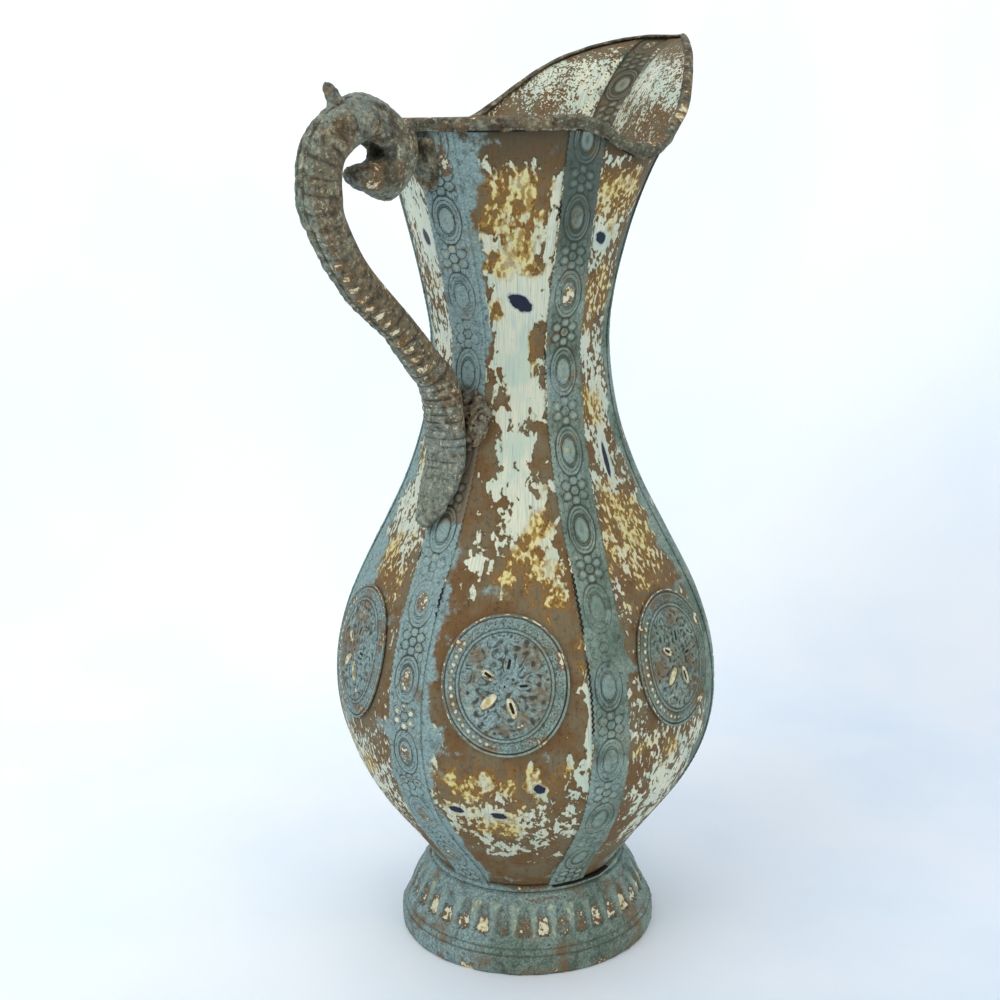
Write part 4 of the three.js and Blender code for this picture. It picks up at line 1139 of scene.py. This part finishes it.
def foot():
    outline = [
        (61.1, 0), (62.6, 0), (63.9, 0.25), (64.4, 1), (64.5, 3), (64.5, 5.4), (64.35, 8),
        (63.6, 8.7), (63, 9.2), (62.9, 10.4), (62.2, 11.2), (61.6, 12), (61.5, 13.2), (60.8, 15),
        (60, 16.6), (59.5, 17.6), (59.2, 18.3), (58.9, 19), (58.5, 19.8), (58.1, 20.8), (57.6, 22),
        (57, 23.4), (56.3, 24.8), (55.6, 26.1), (54.9, 27.3), (54.1, 28.5), (53.3, 29.6), (52.5, 30.6),
        (51.6, 31.6), (50.9, 32.6), (50.4, 33.6), (50.2, 34.5), (49.6, 34.95), (46, 35), (40, 35),
        (40, 33.7), (46, 30), (52, 24.6), (55.8, 20.2), (58.6, 14), (61, 8.1), (61.1, 0),
    ]
    fine = []
    for (r0, z0), (r1, z1) in zip(outline, outline[1:]):
        parts = 2 if math.hypot(r1 - r0, z1 - z0) > 1.1 and r0 > 49 and z0 < 34.9 else 1
        fine += [(lerp(r0, r1, i / parts), lerp(z0, z1, i / parts)) for i in range(parts)]
    mesh = turned(fine + outline[-1:], FLUTES * 14)
    places = places_of(mesh)
    radius, angle = polar(places)
    z = places[:, 2]
    outer = radius > np.interp(z, [0, 8, 20, 30, 33.5, 35], [62, 62.5, 57, 50, 48, 41])
    flute = angle / (FULL_TURN) * FLUTES + 0.12 * np.sin(3 * angle)
    number = np.floor(np.mod(flute, FLUTES)).astype(int)
    luck, other = (np.random.default_rng(seed).uniform(0, 1, FLUTES + 1)[number] for seed in (7, 8))
    up = np.clip((z - FLUTE_START - 0.8 * (other - 0.5)) / FLUTE_HEIGHT, 0, 1)
    x = np.mod(flute, 1) - 0.5 + 0.05 * (other - 0.5)
    ends = smooth(up / 0.05) * onset(up, 1, -0.2)
    wide = 0.38 * smooth(up / 0.1) * (1 - 0.55 * up) * onset(up, 1, -0.3)
    lobe = smooth((wide - np.abs(x)) / 0.13 + 0.2) * ends
    edge = hill(np.abs(x), wide + 0.02, 0.07) * ends
    depth = -(1.3 + 0.5 * luck) * lobe * lerp(1, 0.6, up) - 0.45 * edge
    swell = 0.3 * (1 - lobe) * smooth(up / 0.1) * onset(up, 1, -0.2)
    uneven = 0.12 * rough_field(places, 14, 61) + 0.1 * rough_field(places, 5, 62)
    uneven += 0.06 * rough_field(places, 2.6, 64)
    rings = ridges(z, (-0.2, 9.4, 0.6), (-0.2, 12.2, 0.5), (0.12, 10.8, 0.7))
    change = outer * ((depth + swell) * (z > 14) + uneven + rings * (z < 15) - 0.12)
    # Gold on the lower part of the lobes: wear, stronger towards the lit side as painted highlight.
    front = 0.5 + 0.5 * np.cos(angle - RUBBED_AND_LIT_SIDE)
    rubbed = 0.2 + 0.44 * luck * lerp(0.5, 1, front) + 0.14 * front
    shine = lobe * smooth((0.82 - 0.3 * other - up) / 0.3) * rubbed
    hem = onset(z, 6.5, -6) * (0.24 + 0.26 * rough_field(places, 11, 63))
    hem += 0.42 * hill(degrees_past(angle, SEEN_SIDE), 0, 15) * hill(z, 33, 1.3)
    # Painted shade along the bottom edge, where the foot meets the table.
    pit = 0.8 * onset(z, 0.7, -0.4) * smooth(0.7 + rough_field(places, 6, 65))
    relief = depth * 0.08 + swell * 1.1 + rings * 1 - 0.42 * edge
    places[:, :2] *= (1 + change / np.maximum(radius, 1))[:, None]
    shine = (shine + np.maximum(hem, 0)) * outer
    put(mesh, places, {"relief": relief, "shine": shine, "pit": pit * outer})
    new_piece("fluted_foot", mesh, "foot", "foot_metal", FOOT_FINISH)


def collar():
    edge, low, middle, high = 47.4, 35.3, 36.6, 37.88
    outline = [(40, low), (44, low), (edge, low)]
    for t in np.linspace(0.08, 0.92, 11) * math.pi:
        outline.append((edge + 1.25 * math.sin(t), middle - 1.28 * math.cos(t)))
    outline += [(edge, high), (44, high), (40, high), (40, middle), (40, low)]
    mesh = turned(outline, 160)
    places = places_of(mesh)
    radius, angle = polar(places)
    lumps = rough_field(places, 9, 81)
    places[:, :2] *= (1 + 0.004 * lumps * (radius > 47))[:, None]
    turn = degrees_past(angle, SEEN_SIDE)
    crack = smooth((turn - 4 + 3 * lumps) / 4) * onset(turn, 52, -5)
    crack *= onset(places[:, 2], 37, 0.35)
    rust = 0.36 * hill(turn, -6, 18) + 0.1 * lumps
    put(mesh, places, {"relief": 0.05 + 0.1 * lumps, "shine": rust, "pit": crack})
    new_piece("collar_ring", mesh, "foot_collar", "foot_metal", FOOT_FINISH)


# Solder and saddle, finer copies of their solids

def refined_copy(name, node, slot, finish, cuts, lump_size, lump_height, seed):
    """A smoothed and roughened copy of a node's solid that stays on its own seat."""
    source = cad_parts[node]
    bm = bmesh.new()
    bm.from_mesh(source.data)
    for vert in bm.verts:
        vert.co = source.matrix_world @ vert.co
    bmesh.ops.remove_doubles(bm, verts=bm.verts, dist=1e-6)
    bmesh.ops.subdivide_edges(bm, edges=bm.edges, cuts=cuts, use_grid_fill=True)
    for _ in range(3):
        bmesh.ops.smooth_vert(
            bm, verts=bm.verts, factor=0.4, use_axis_x=True, use_axis_y=True, use_axis_z=True,
        )
    mesh = mesh_of(bm)
    places = places_of(mesh)
    normals = np.array([v.normal for v in mesh.vertices])
    lumps = rough_field(places, lump_size, seed) + 0.6 * rough_field(places, lump_size * 0.45, seed + 1)
    # Painted shade: the deepest hollows of the lumps are black.
    deep = np.maximum(0, -lumps - 0.75) * (1.2 if lump_height > 0.3 else 0.3)
    places += normals * (lump_height * lumps)[:, None]
    put(mesh, places, {"relief": 0.35 * lumps, "shine": 0, "pit": deep})
    new_piece(name, mesh, node, slot, finish)


for number in range(6):
    gore(number)
    band(number)
    disc(number)
rim()
handle()
horn()
foot()
collar()
refined_copy("solder_lump", "heel_solder", "solder", SOLDER_FINISH, 3, 4.2, 0.5, 101)
refined_copy("saddle_plate", "upper_saddle", "handle_metal", SADDLE_FINISH, 3, 9, 0.1, 111)

floor_metal = sheet_finish("tarnished_floor", 120, -0.1, inside=True)
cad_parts["body_floor"].material_slots[0].material = floor_metal


# Table, light and camera

# Flat directions: the way the camera looks, and the way to its right.
AHEAD, RIGHT_WAY = np.array([0.788, 0.6156, 0]), np.array([0.6156, -0.788, 0])


def cloth_finish(name, colour):
    """Pale cloth with a painted glow that only the camera sees, brighter towards the upper left, and
    open to the eye from behind and below.
    """
    f = Finish(name)
    weave = f.noise(7, 3, 0.5, where=f.stretched(f.here, 1, 1, 0.6))
    f.feed(f.surface.inputs["Base Color"], f.layers(colour, (tone(250, 252, 254), weave, 0.3, 0.7, 0.6)))
    f.surface.inputs["Specular IOR Level"].default_value = 0.1
    f.surface.inputs["Roughness"].default_value = 0.95
    # Painted light: a warm glow for the camera, growing towards the upper left of the view.
    lit = f.ramp(f.along(-0.064, 0.645, 1), -0.12, 0.3, 0, 0.24)
    seen = f.node("ShaderNodeLightPath").outputs["Is Camera Ray"]
    f.feed(f.surface.inputs["Emission Strength"], f.times(lit, seen))
    f.surface.inputs["Emission Color"].default_value = (1, 0.95, 0.75, 1)
    both = f.node("ShaderNodeMixShader")
    parts = (
        f.times(f.node("ShaderNodeNewGeometry").outputs["Backfacing"], seen), f.surface.outputs[0],
        f.node("ShaderNodeBsdfTransparent").outputs[0],
    )
    for socket, part in zip(both.inputs, parts):
        f.feed(socket, part)
    f.feed(f.tree.nodes["Material Output"].inputs["Surface"], both.outputs[0])
    return f.material


def table_and_wall():
    """A pale cloth that lies on the table and rises behind the jug in one sweep."""
    start, bend, radius, top, half_width = -2200, 300, 120, 2600, 3500
    quarter = radius * math.pi / 2

    def form(u, v):
        run = lerp(start, bend + quarter + top, v) - bend
        turn = np.clip(run / radius, 0, math.pi / 2)
        forward = bend + np.minimum(run, 0) + radius * np.sin(turn)
        up = radius * (1 - np.cos(turn)) + np.maximum(run - quarter, 0)
        across = (2 * u - 1) * half_width
        flat = AHEAD * forward[:, None] + RIGHT_WAY * across[:, None]
        return flat + np.array([0, 0, 1]) * up[:, None], {}

    sheet = formed_sheet("cloth", form, (1, 1))
    new_object("cloth", sheet, cloth_finish("pale_cloth", tone(232, 242, 252)))


def soft_light(name, place, aim_height, size, power, colour=(1, 1, 1)):
    lamp = bpy.data.lights.new(name, "AREA")
    lamp.shape, lamp.size, lamp.energy, lamp.color = "SQUARE", size, power, colour
    holder = bpy.data.objects.new(name, lamp)
    holder.location = place
    way = Vector((0, 0, aim_height)) - holder.location
    holder.rotation_euler = way.to_track_quat("-Z", "Y").to_euler()
    bpy.context.scene.collection.objects.link(holder)


def world_light():
    """Plain pale light from all round, brighter where the camera sees past the cloth."""
    world = bpy.data.worlds.new("room")
    bpy.context.scene.world = world
    world.use_nodes = True
    nodes, links = world.node_tree.nodes, world.node_tree.links
    nodes["Background"].inputs["Color"].default_value = (0.93, 0.96, 1, 1)
    seen = nodes.new("ShaderNodeMapRange")
    seen.inputs["To Min"].default_value = 0.56
    seen.inputs["To Max"].default_value = 0.95
    links.new(nodes.new("ShaderNodeLightPath").outputs["Is Camera Ray"], seen.inputs["Value"])
    links.new(seen.outputs[0], nodes["Background"].inputs["Strength"])


def camera():
    """The photograph's view: from the handle's side, a little above the mouth."""
    lens = bpy.data.cameras.new("view")
    lens.sensor_width, lens.lens = 36, 55.8
    eye = bpy.data.objects.new("view", lens)
    eye.location = (-0.5753, -0.4494, 0.4)
    eye.rotation_euler = [math.radians(turn) for turn in (76.0843, 0.8736, -51.3721)]
    bpy.context.scene.collection.objects.link(eye)
    bpy.context.scene.camera = eye


table_and_wall()
soft_light("window", (-1.55, 0.25, 1.25), 0.22, 1.3, 11, (0.96, 0.98, 1))
soft_light("room", (-0.1, -1.7, 0.9), 0.22, 1.4, 6.5)
soft_light("above", (0.1, 0.1, 1.7), 0.2, 1.2, 5)
world_light()
camera()
bpy.context.scene.view_settings.view_transform = "Standard"

bpy.context.view_layer.update()
